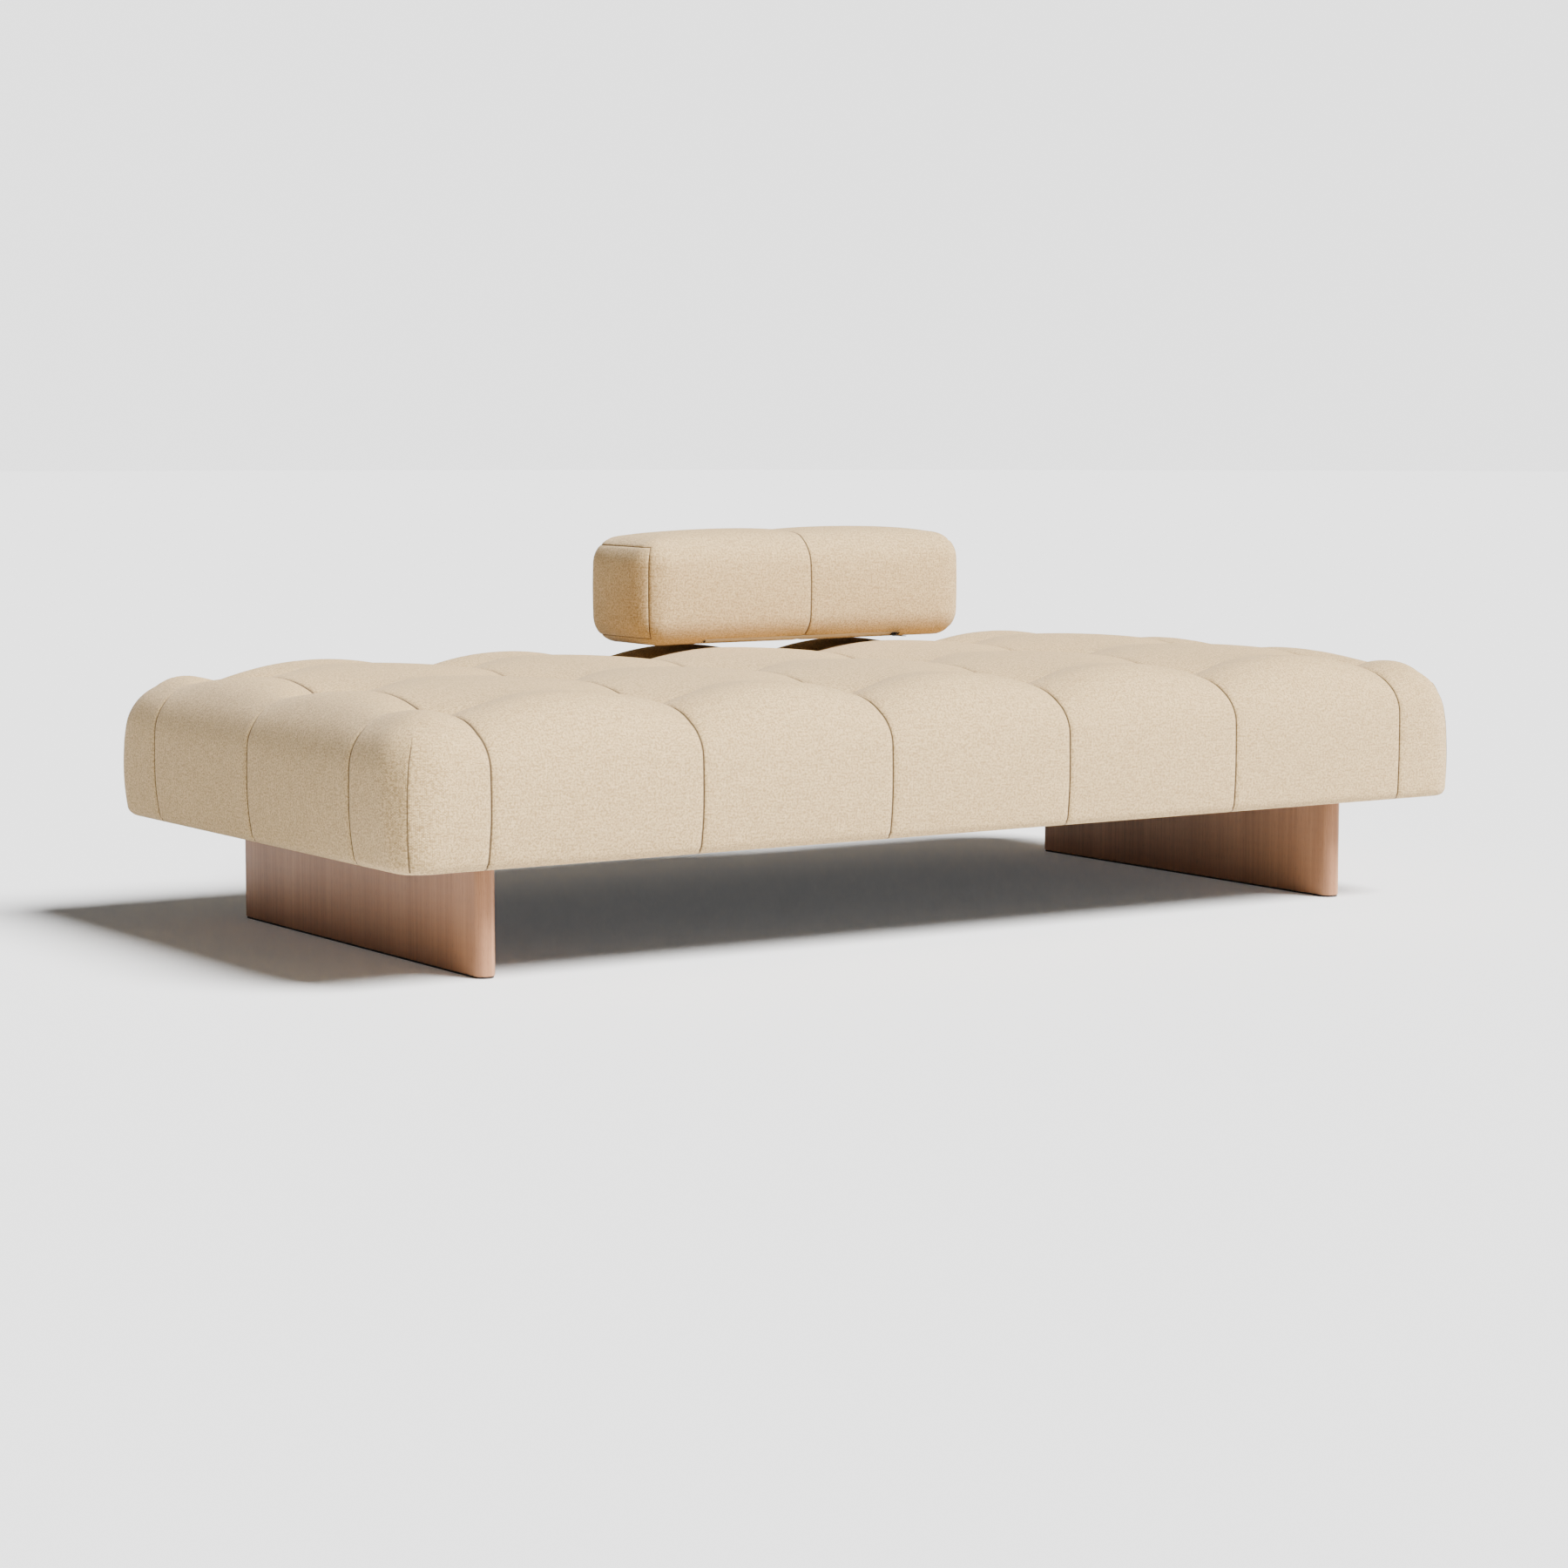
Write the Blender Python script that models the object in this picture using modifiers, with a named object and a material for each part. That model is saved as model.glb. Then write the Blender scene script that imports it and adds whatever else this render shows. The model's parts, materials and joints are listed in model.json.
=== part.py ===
"""A daybed: a quilted, upholstered platform on two slab legs, with a loose bolster cushion.

The origin is on the floor, under the middle of the platform. +X runs along the length,
+Y from the front to the back, and +Z up. Sizes are in metres.
"""

import math

import bmesh
import bpy
from mathutils import Matrix, Vector

GAP = 0.0003

# The platform's outside, measured at its lower edge, between the puffs.
LENGTH = 1.969
DEPTH = 0.968
UNDERSIDE = 0.168
CROWN_TOP = 0.415
PLAN_RADIUS = 0.055
TOP_RADIUS = 0.09
FOOT_RADIUS = 0.010

# The quilting: tufts stand on a grid of six cross seams and three long rows.
CROSS_SEAMS = (-0.8535, -0.5025, -0.1675, 0.1675, 0.5025, 0.8535)
TUFT_ROWS = (-0.3305, 0.0, 0.3305)
TUFT_DEPTH = 0.044
SEAM_ARCH = 0.019
PUFF_POWER = 2.1
SIDE_BULGE = 0.012
SEAM_BULGE_SHARE = 0.8

# The cover, and what it is pulled over.
COVER_WALL = 0.004
HEM_WIDTH = 0.045
HEM_CLEARANCE = 0.0005
WADDING_INSET = 0.007
FRAME_INSET = 0.025
FRAME_BASE = UNDERSIDE + COVER_WALL + HEM_CLEARANCE
BOARD = 0.025
RAIL_HEIGHT = 0.086
DECK_THICKNESS = 0.012
FOAM_TOP = 0.336
CROSS_RAIL_PLACES = (-0.42, 0.0, 0.42)
CORNER_BLOCK_LEG = 0.055
DUST_COVER_INSET = 0.049
DUST_COVER_THICKNESS = 0.0012

# Where the upholstery's loop cuts run: in from its edges, up its sides, and below its crowns.
EDGE_CUTS = (0.011, 0.028, HEM_WIDTH, PLAN_RADIUS, TOP_RADIUS)
SIDE_CUTS = (0.06, 0.11)
SHOULDER_CUTS = (0.055, 0.018)

# The slab legs, their glides and what holds them on.
LEG_THICKNESS = 0.032
LEG_WIDTH = 0.781
LEG_INSET = 0.1665
LEG_EDGE_RADIUS = 0.0015
GLIDE_THICKNESS = 0.0025
GLIDE_INSET = 0.0015
LEG_BOARD_WIDTH = 0.120
LEG_BOARD_THICKNESS = 0.018
BOLT_PLACES = (-0.28, 0.0, 0.28)
BOLT_RADIUS = 0.004
BOLT_LENGTH = 0.043
BOLT_HEAD_RADIUS = 0.0075
BOLT_HEAD_HEIGHT = 0.003
BOLT_HEAD_EDGE = 0.001
SOCKET_RADIUS = 0.0025
SOCKET_DEPTH = 0.0018
BOLT_HOLE_RADIUS = 0.0046
INSERT_RADIUS = 0.006
INSERT_LENGTH = 0.025
WASHER_RADIUS = 0.010
WASHER_THICKNESS = 0.0015
TURNED_STEPS = 12

# The bolster, lying over the back row of tufts and centred on a cross seam.
BOLSTER_PLACE = (CROSS_SEAMS[3], TUFT_ROWS[2])
BOLSTER_LENGTH = 0.649
BOLSTER_DEPTH = 0.200
BOLSTER_HEIGHT = 0.177
BOLSTER_CLEARANCE = 0.001
BOLSTER_BASE = CROWN_TOP + BOLSTER_CLEARANCE
BOLSTER_RADIUS = 0.042
BOLSTER_WALL = 0.003
CORE_INSET = 0.0055
END_CROWN = 0.008
FACE_CROWN = 0.005
TOP_CROWN = 0.008
CROWN_POWER = 9
BOLSTER_LOOP_PLACE = 0.16
BOLSTER_EDGE_SHARES = (1.0, 0.47, 0.15)

# The zip, in the rounding along the bolster's front lower edge.
ZIP_LENGTH = 0.400
ZIP_WIDTH = 0.0124
ZIP_ANGLE = math.radians(62)
ZIP_SINK = 0.0006
TAPE_THICKNESS = 0.0008
STOP_SIZE = (0.003, 0.006, 0.0012)
STOP_EDGE = 0.0003
SLIDER_REST = 0.189
SLIDER_PLATE = (0.011, 0.0075, 0.0012)
POST_SIZE = (0.0012, 0.0024, 0.0032)
POST_SPREAD = 0.0032
ROD_RADIUS = 0.0006
ROD_HEIGHT = 0.0036
KNUCKLE_RADIUS = 0.0017
KNUCKLE_BORE = 0.00095
KNUCKLE_WIDTH = 0.0044
NECK_LENGTH = 0.0045
TAB_SIZE = (0.009, 0.0255, 0.0012)

HALF_LENGTH = LENGTH / 2
HALF_DEPTH = DEPTH / 2
FRAME_HALF_LENGTH = HALF_LENGTH - FRAME_INSET
FRAME_HALF_DEPTH = HALF_DEPTH - FRAME_INSET
RAIL_TOP = FRAME_BASE + RAIL_HEIGHT
DECK_BASE = RAIL_TOP + GAP
FOAM_BASE = DECK_BASE + DECK_THICKNESS + GAP
DUST_COVER_BASE = FRAME_BASE - GAP - DUST_COVER_THICKNESS
LEG_TOP = DUST_COVER_BASE - GAP
LEG_BASE = GLIDE_THICKNESS + GAP
LEG_CENTRE = HALF_LENGTH - LEG_INSET - LEG_THICKNESS / 2
BETWEEN_RAILS = FRAME_HALF_DEPTH - BOARD - GAP


def clear_scene():
    """Empties the scene that the script is run in."""
    for thing in list(bpy.data.objects):
        bpy.data.objects.remove(thing, do_unlink=True)


def collection(name, hidden=False):
    """A collection in the scene, hidden from renders if it holds cutters."""
    made = bpy.data.collections.new(name)
    made.hide_render = hidden
    bpy.context.scene.collection.children.link(made)
    return made


def finish(name, colour, roughness, metallic=0.0):
    """A Principled material."""
    made = bpy.data.materials.new(name)
    made.use_nodes = True
    shader = made.node_tree.nodes["Principled BSDF"]
    shader.inputs["Base Color"].default_value = (*colour, 1.0)
    shader.inputs["Roughness"].default_value = roughness
    shader.inputs["Metallic"].default_value = metallic
    made.diffuse_color = (*colour, 1.0)
    return made


def add_object(name, mesh, colour, parent=None, place=(0, 0, 0), turn=0.0):
    """Puts a mesh in the parts collection, at a place under its parent, turned about X."""
    made = bpy.data.objects.new(name, mesh)
    PARTS.objects.link(made)
    if not mesh.materials:
        mesh.materials.append(colour)
    made.parent = parent
    made.location = place
    made.rotation_euler = (turn, 0, 0)
    return made


def add_empty(name, place):
    """An empty that carries the pieces of one moving body."""
    made = bpy.data.objects.new(name, None)
    PARTS.objects.link(made)
    made.location = place
    return made


def as_cutter(thing):
    """Moves an object among the cutters, which aren't part of the daybed."""
    PARTS.objects.unlink(thing)
    CUTTERS.objects.link(thing)
    thing.hide_render = True
    thing.display_type = "WIRE"
    return thing


def modify(thing, kind, **settings):
    """Adds a modifier with its settings."""
    made = thing.modifiers.new(kind.title(), kind)
    for key, value in settings.items():
        setattr(made, key, value)
    return made


def cut(thing, cutter, operation="DIFFERENCE"):
    """A Boolean with the exact solver."""
    return modify(thing, "BOOLEAN", object=cutter, operation=operation, solver="EXACT")


def box_mesh(name, size):
    """A box about its own centre."""
    work = bmesh.new()
    bmesh.ops.create_cube(work, size=1.0, matrix=Matrix.Diagonal((*size, 1)))
    mesh = bpy.data.meshes.new(name)
    work.to_mesh(mesh)
    work.free()
    return mesh


def box(name, low, high, colour):
    """A box between two corners, with its origin at its centre."""
    low, high = Vector(low), Vector(high)
    return add_object(name, box_mesh(name, high - low), colour, None, (low + high) / 2)


def cylinder_mesh(name, radius, length, axis="Z"):
    """A closed cylinder about its own centre, along X or Z."""
    work = bmesh.new()
    bmesh.ops.create_cone(work, cap_ends=True, segments=TURNED_STEPS, radius1=radius,
                          radius2=radius, depth=length)
    if axis == "X":
        turn = Matrix.Rotation(math.radians(90), 3, "Y")
        bmesh.ops.rotate(work, verts=work.verts, matrix=turn)
    mesh = bpy.data.meshes.new(name)
    work.to_mesh(mesh)
    work.free()
    return mesh


def turned_mesh(name, profile):
    """A turned body from (radius, height) points, listed from the top down on its outer side."""
    work = bmesh.new()
    points = [work.verts.new((radius, 0, height)) for radius, height in profile]
    for first, second in zip(points, points[1:] + points[:1]):
        work.edges.new((first, second))
    outline = bpy.data.meshes.new(name + "_outline")
    work.to_mesh(outline)
    work.free()
    lathe = add_object(name + "_lathe", outline, STEEL)
    modify(lathe, "SCREW", steps=TURNED_STEPS, render_steps=TURNED_STEPS,
           use_merge_vertices=True, merge_threshold=0.0001, use_normal_calculate=True)
    bpy.context.view_layer.update()
    graph = bpy.context.evaluated_depsgraph_get()
    mesh = bpy.data.meshes.new_from_object(lathe.evaluated_get(graph))
    bpy.data.objects.remove(lathe)
    work = bmesh.new()
    work.from_mesh(mesh)
    bmesh.ops.recalc_face_normals(work, faces=work.faces)
    work.to_mesh(mesh)
    work.free()
    mesh.name = name
    mesh.shade_smooth()
    mesh.set_sharp_from_angle(angle=math.radians(35))
    return mesh


def stadium_mesh(name, width, thickness, height, arc_steps=10):
    """A slab on edge whose two ends are half rounds: an outline in plan, extruded upwards."""
    radius = thickness / 2
    straight = width / 2 - radius
    outline = []
    for end in (1, -1):
        for step in range(arc_steps + 1):
            angle = math.pi * step / arc_steps
            across = radius * math.cos(angle) * end
            outline.append((across, end * (straight + radius * math.sin(angle)), 0, 1))
    curve = bpy.data.curves.new(name + "_outline", "CURVE")
    curve.dimensions = "2D"
    curve.fill_mode = "BOTH"
    curve.extrude = height / 2
    spline = curve.splines.new("POLY")
    spline.points.add(len(outline) - 1)
    for point, place in zip(spline.points, outline):
        point.co = place
    spline.use_cyclic_u = True
    drawn = bpy.data.objects.new(name + "_drawn", curve)
    PARTS.objects.link(drawn)
    bpy.context.view_layer.update()
    graph = bpy.context.evaluated_depsgraph_get()
    mesh = bpy.data.meshes.new_from_object(drawn.evaluated_get(graph))
    bpy.data.objects.remove(drawn)
    work = bmesh.new()
    work.from_mesh(mesh)
    bmesh.ops.remove_doubles(work, verts=work.verts, dist=0.00001)
    bmesh.ops.dissolve_limit(work, angle_limit=0.01, verts=work.verts, edges=work.edges)
    bmesh.ops.recalc_face_normals(work, faces=work.faces)
    work.to_mesh(mesh)
    work.free()
    mesh.name = name
    mesh.materials.clear()
    return mesh


def gridded_box(half_x, half_y, low, high, planes):
    """A cube brought to size, with loop cuts at the planes listed for X, Y and Z."""
    work = bmesh.new()
    size = (2 * half_x, 2 * half_y, high - low, 1)
    centre = Matrix.Translation((0, 0, (low + high) / 2))
    bmesh.ops.create_cube(work, size=1.0, matrix=centre @ Matrix.Diagonal(size))
    for axis, places in enumerate(planes):
        normal = [0, 0, 0]
        normal[axis] = 1
        for place in places:
            point = [place if i == axis else 0 for i in range(3)]
            everything = work.verts[:] + work.edges[:] + work.faces[:]
            bmesh.ops.bisect_plane(work, geom=everything, plane_co=point, plane_no=normal)
    return work


def onto_round(along, up, radius):
    """Carries a point of a square corner onto the quarter disc that fits in it."""
    if along <= 0 or up <= 0:
        return along, up
    share = max(along, up) / math.hypot(along, up)
    return along * share, up * share


def rounded(point, half_x, half_y, low, high, plan_radius, top_radius, foot_radius):
    """Carries a point of a sharp box onto the same box with its edges rounded."""
    x, y, z = point
    over_x = abs(x) - (half_x - plan_radius)
    over_y = abs(y) - (half_y - plan_radius)
    reach = max(over_x, over_y)
    inset = plan_radius - reach
    along, up = onto_round(top_radius - inset, z - (high - top_radius), top_radius)
    new_inset, new_z = top_radius - along, high - top_radius + up
    if z < (low + high) / 2:
        along, up = onto_round(foot_radius - inset, low + foot_radius - z, foot_radius)
        new_inset, new_z = foot_radius - along, low + foot_radius - up
    new_reach = plan_radius - new_inset
    if over_x > 0 and over_y > 0:
        length = math.hypot(over_x, over_y)
        new_x = half_x - plan_radius + new_reach * over_x / length
        new_y = half_y - plan_radius + new_reach * over_y / length
        return math.copysign(new_x, x), math.copysign(new_y, y), new_z
    if over_x >= over_y:
        return x + (new_reach - reach) * math.copysign(1, x), y, new_z
    return x, y + (new_reach - reach) * math.copysign(1, y), new_z


def fullness(place, lines, half):
    """How full a puff is at a place across it: 0 on a seam, rising to 1 midway to the next."""
    if abs(place) >= lines[-1]:
        share = min(1.0, (abs(place) - lines[-1]) / (half - lines[-1]))
        return 1 - (1 - share) ** PUFF_POWER
    for first, second in zip(lines, lines[1:]):
        if first <= place <= second:
            share = (place - first) / (second - first)
            return 1 - abs(2 * share - 1) ** PUFF_POWER
    return 1.0


def bulge_share(place, lines, half):
    """How much of the side bulge a place along a side has: least on a seam, all of it between."""
    return SEAM_BULGE_SHARE + (1 - SEAM_BULGE_SHARE) * fullness(place, lines, half)


def quilt_drop(x, y):
    """How far the quilted top lies below its crowns, at a place in plan."""
    across = fullness(x, CROSS_SEAMS, HALF_LENGTH)
    between_rows = fullness(y, TUFT_ROWS, HALF_DEPTH) if abs(y) < TUFT_ROWS[-1] else 0.0
    return (TUFT_DEPTH - SEAM_ARCH * between_rows) * (1 - across)


def steps_between(lines, half, parts=3):
    """Loop cuts on each seam, evenly between seams, and closer together round the corners."""
    places = list(lines)
    for first, second in zip(lines, lines[1:]):
        places += [first + (second - first) * step / parts for step in range(1, parts)]
    for inset in EDGE_CUTS:
        places += [half - inset, inset - half]
    return sorted(places)


def quilted_form(inset, base, keep_hem):
    """The platform's quilted outside, drawn in by an inset, closed or with an open underside."""
    half_x, half_y = HALF_LENGTH - inset, HALF_DEPTH - inset
    high = CROWN_TOP - inset
    levels = [base + rise for rise in (FOOT_RADIUS, *SIDE_CUTS)]
    levels += [high - TOP_RADIUS, *[high - drop for drop in SHOULDER_CUTS]]
    planes = (steps_between(CROSS_SEAMS, HALF_LENGTH), steps_between(TUFT_ROWS, HALF_DEPTH), levels)
    work = gridded_box(half_x, half_y, base, high, planes)
    if keep_hem:
        inner = []
        for face in work.faces:
            centre = face.calc_center_median()
            under = centre.z < base + GAP
            past_x = abs(centre.x) < HALF_LENGTH - HEM_WIDTH
            past_y = abs(centre.y) < HALF_DEPTH - HEM_WIDTH
            if under and past_x and past_y:
                inner.append(face)
        bmesh.ops.delete(work, geom=inner, context="FACES")
    for vertex in work.verts:
        sharp = vertex.co.copy()
        x, y, z = rounded(sharp, half_x, half_y, base, high, PLAN_RADIUS - inset, TOP_RADIUS,
                          FOOT_RADIUS)
        upper = max(0.0, (z - (high - TOP_RADIUS)) / TOP_RADIUS)
        bulge = math.sin(math.pi * (sharp.z - base) / (high - base)) * SIDE_BULGE
        if abs(sharp.x) > half_x - GAP:
            x += math.copysign(bulge, x) * bulge_share(y, TUFT_ROWS, HALF_DEPTH)
        if abs(sharp.y) > half_y - GAP:
            y += math.copysign(bulge, y) * bulge_share(x, CROSS_SEAMS, HALF_LENGTH)
        vertex.co = (x, y, z - quilt_drop(x, y) * upper)
    return work


def mesh_from(work, name):
    """Turns finished bmesh work into a mesh with its faces outwards."""
    mesh = bpy.data.meshes.new(name)
    work.to_mesh(mesh)
    work.free()
    mesh.shade_smooth()
    return mesh


def build_upholstery():
    """The quilted cover with its turned-in hem, the wadding, the foam and the dust cover."""
    work = quilted_form(0.0, UNDERSIDE, keep_hem=True)
    cover = add_object("quilted_cover", mesh_from(work, "quilted_cover"), CREAM)
    modify(cover, "SOLIDIFY", thickness=COVER_WALL, offset=-1, use_even_offset=True)

    work = quilted_form(WADDING_INSET, FRAME_BASE + GAP, keep_hem=False)
    wadding = add_object("fibre_wadding", mesh_from(work, "fibre_wadding"), WHITE_FIBRE)
    hollow_low = (-FRAME_HALF_LENGTH - GAP, -FRAME_HALF_DEPTH - GAP, FRAME_BASE - BOARD)
    hollow_high = (FRAME_HALF_LENGTH + GAP, FRAME_HALF_DEPTH + GAP, FOAM_TOP + GAP)
    cut(wadding, as_cutter(box("wadding_hollow", hollow_low, hollow_high, WHITE_FIBRE)))

    box("foam_core", (-FRAME_HALF_LENGTH, -FRAME_HALF_DEPTH, FOAM_BASE),
        (FRAME_HALF_LENGTH, FRAME_HALF_DEPTH, FOAM_TOP), FOAM)

    half_x, half_y = HALF_LENGTH - DUST_COVER_INSET, HALF_DEPTH - DUST_COVER_INSET
    dust_cover = box("dust_cover", (-half_x, -half_y, DUST_COVER_BASE),
                     (half_x, half_y, DUST_COVER_BASE + DUST_COVER_THICKNESS), BLACK_CLOTH)
    for hole in bolt_hole_cutters("dust_cover", LEG_TOP + BOARD, BOARD):
        cut(dust_cover, hole)


def build_frame():
    """The timber frame that the cover is stapled to, with its deck."""
    x, y = FRAME_HALF_LENGTH, FRAME_HALF_DEPTH
    box("front_rail", (-x, -y, FRAME_BASE), (x, -y + BOARD, RAIL_TOP), PINE)
    box("back_rail", (-x, y - BOARD, FRAME_BASE), (x, y, RAIL_TOP), PINE)
    box("left_end_rail", (-x, -BETWEEN_RAILS, FRAME_BASE),
        (-x + BOARD, BETWEEN_RAILS, RAIL_TOP), PINE)
    box("right_end_rail", (x - BOARD, -BETWEEN_RAILS, FRAME_BASE),
        (x, BETWEEN_RAILS, RAIL_TOP), PINE)
    for number, place in enumerate(CROSS_RAIL_PLACES, 1):
        box(f"cross_rail_{number}", (place - BOARD / 2, -BETWEEN_RAILS, FRAME_BASE),
            (place + BOARD / 2, BETWEEN_RAILS, RAIL_TOP), PINE)
    for end_x, side in ((-1, "left"), (1, "right")):
        for end_y, row in ((-1, "front"), (1, "back")):
            corner_block(f"corner_block_{row}_{side}", end_x, end_y)
    box("deck_panel", (-x, -y, DECK_BASE), (x, y, DECK_BASE + DECK_THICKNESS), PLYWOOD)


def corner_block(name, end_x, end_y):
    """A triangular block glued into one inside corner of the frame."""
    leg = CORNER_BLOCK_LEG
    inner_x = FRAME_HALF_LENGTH - BOARD - GAP
    corner = [(0, 0), (-leg, 0), (0, -leg)]
    work = bmesh.new()
    flat = [work.verts.new((px * end_x, py * end_y, 0)) for px, py in corner]
    face = work.faces.new(flat)
    raised = bmesh.ops.extrude_face_region(work, geom=[face])["geom"]
    points = [item for item in raised if isinstance(item, bmesh.types.BMVert)]
    height = RAIL_HEIGHT - 2 * GAP
    bmesh.ops.translate(work, verts=points, vec=(0, 0, height))
    bmesh.ops.recalc_face_normals(work, faces=work.faces)
    mesh = bpy.data.meshes.new(name)
    work.to_mesh(mesh)
    work.free()
    place = (end_x * inner_x, end_y * BETWEEN_RAILS, FRAME_BASE + GAP)
    add_object(name, mesh, PINE, None, place)


def bolt_hole_cutters(name, top, depth):
    """A cutter for each leg bolt's clearance hole through a flat piece."""
    cutters = []
    for side in (-1, 1):
        for number, place in enumerate(BOLT_PLACES, 1):
            label = f"{name}_hole_{number}_{'left' if side < 0 else 'right'}"
            mesh = cylinder_mesh(label, BOLT_HOLE_RADIUS, 2 * depth)
            centre = (side * LEG_CENTRE, place, top - depth)
            cutters.append(as_cutter(add_object(label, mesh, STEEL, None, centre)))
    return cutters


def build_legs():
    """Both slab legs, with their glides, mounting boards, inserts, washers and bolts."""
    slab = stadium_mesh("leg_slab", LEG_WIDTH, LEG_THICKNESS, LEG_TOP - LEG_BASE)
    glide = stadium_mesh("glide", LEG_WIDTH - 2 * GLIDE_INSET, LEG_THICKNESS - 2 * GLIDE_INSET,
                         GLIDE_THICKNESS)
    pocket = cylinder_mesh("insert_pocket", INSERT_RADIUS + GAP, 2 * (INSERT_LENGTH + GAP))
    insert = turned_mesh("threaded_insert", insert_profile())
    washer = turned_mesh("washer", washer_profile())
    bolt = turned_mesh("leg_bolt", bolt_profile())
    board_top = FRAME_BASE + LEG_BOARD_THICKNESS
    holes = bolt_hole_cutters("leg_board", board_top + BOARD, 2 * BOARD)
    for end, side in ((-1, "left"), (1, "right")):
        x = end * LEG_CENTRE
        leg = add_object(f"{side}_leg_slab", slab.copy(), OAK, None,
                         (x, 0, (LEG_TOP + LEG_BASE) / 2))
        modify(leg, "BEVEL", width=LEG_EDGE_RADIUS, segments=2, limit_method="ANGLE",
               angle_limit=math.radians(60))
        add_object(f"{side}_leg_glide", glide.copy(), FELT, None, (x, 0, GLIDE_THICKNESS / 2))
        board = box(f"{side}_leg_board", (x - LEG_BOARD_WIDTH / 2, -BETWEEN_RAILS, FRAME_BASE),
                    (x + LEG_BOARD_WIDTH / 2, BETWEEN_RAILS, board_top), PLYWOOD)
        for number, place in enumerate(BOLT_PLACES, 1):
            label = f"{side}_{number}"
            pocket_place = (x, place, LEG_TOP)
            seat = add_object(f"pocket_{label}", pocket, STEEL, None, pocket_place)
            cut(leg, as_cutter(seat))
            cut(board, holes[(0 if end < 0 else len(BOLT_PLACES)) + number - 1])
            add_object(f"leg_insert_{label}", insert, BRASS, None, (x, place, LEG_TOP - GAP))
            add_object(f"leg_washer_{label}", washer, STEEL, None, (x, place, board_top + GAP))
            head_place = (x, place, board_top + 2 * GAP + WASHER_THICKNESS)
            add_object(f"leg_bolt_{label}", bolt, STEEL, None, head_place)


def insert_profile():
    """A plain sleeve for the bolt, hanging down from its own top."""
    bore = BOLT_RADIUS + GAP
    return [(bore, 0), (INSERT_RADIUS, 0), (INSERT_RADIUS, -INSERT_LENGTH), (bore, -INSERT_LENGTH)]


def washer_profile():
    """A flat washer, standing on its own origin."""
    bore = BOLT_HOLE_RADIUS
    return [(bore, WASHER_THICKNESS), (WASHER_RADIUS, WASHER_THICKNESS), (WASHER_RADIUS, 0),
            (bore, 0)]


def bolt_profile():
    """A low round head with a socket, standing on the origin, and a plain shank below it."""
    return [(0, BOLT_HEAD_HEIGHT - SOCKET_DEPTH), (SOCKET_RADIUS, BOLT_HEAD_HEIGHT - SOCKET_DEPTH),
            (SOCKET_RADIUS, BOLT_HEAD_HEIGHT), (BOLT_HEAD_RADIUS - BOLT_HEAD_EDGE, BOLT_HEAD_HEIGHT),
            (BOLT_HEAD_RADIUS, BOLT_HEAD_HEIGHT - BOLT_HEAD_EDGE), (BOLT_HEAD_RADIUS, 0),
            (BOLT_RADIUS, 0), (BOLT_RADIUS, -BOLT_LENGTH), (0, -BOLT_LENGTH)]


def bolster_form(inset):
    """The bolster's outside about its own centre, drawn in by an inset, with crowned faces."""
    half_x, half_y = BOLSTER_LENGTH / 2 - inset, BOLSTER_DEPTH / 2 - inset
    half_z = BOLSTER_HEIGHT / 2 - inset
    radius = BOLSTER_RADIUS - inset
    planes = []
    loops = (-BOLSTER_LOOP_PLACE, 0.0, BOLSTER_LOOP_PLACE)
    for half, inner in ((half_x, loops), (half_y, (0.0,)), (half_z, (0.0,))):
        edge = [half - share * radius for share in BOLSTER_EDGE_SHARES]
        planes.append(sorted([*inner, *edge, *[-place for place in edge]]))
    work = gridded_box(half_x, half_y, -half_z, half_z, planes)
    for vertex in work.verts:
        x, y, z = rounded(vertex.co, half_x, half_y, -half_z, half_z, radius, radius, radius)
        share_x, share_y, share_z = x / half_x, y / half_y, z / half_z
        flat_x, flat_y, flat_z = (max(0.0, 1 - share ** 2) for share in (share_x, share_y, share_z))
        new_x = x + END_CROWN * share_x ** CROWN_POWER * flat_y * flat_z
        new_y = y + FACE_CROWN * share_y ** CROWN_POWER * flat_z ** 2 * min(1.0, 2 * flat_x)
        new_z = z + TOP_CROWN * max(0.0, share_z) ** CROWN_POWER * flat_y * min(1.0, 2 * flat_x)
        vertex.co = (new_x, new_y, new_z)
    return work


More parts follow.
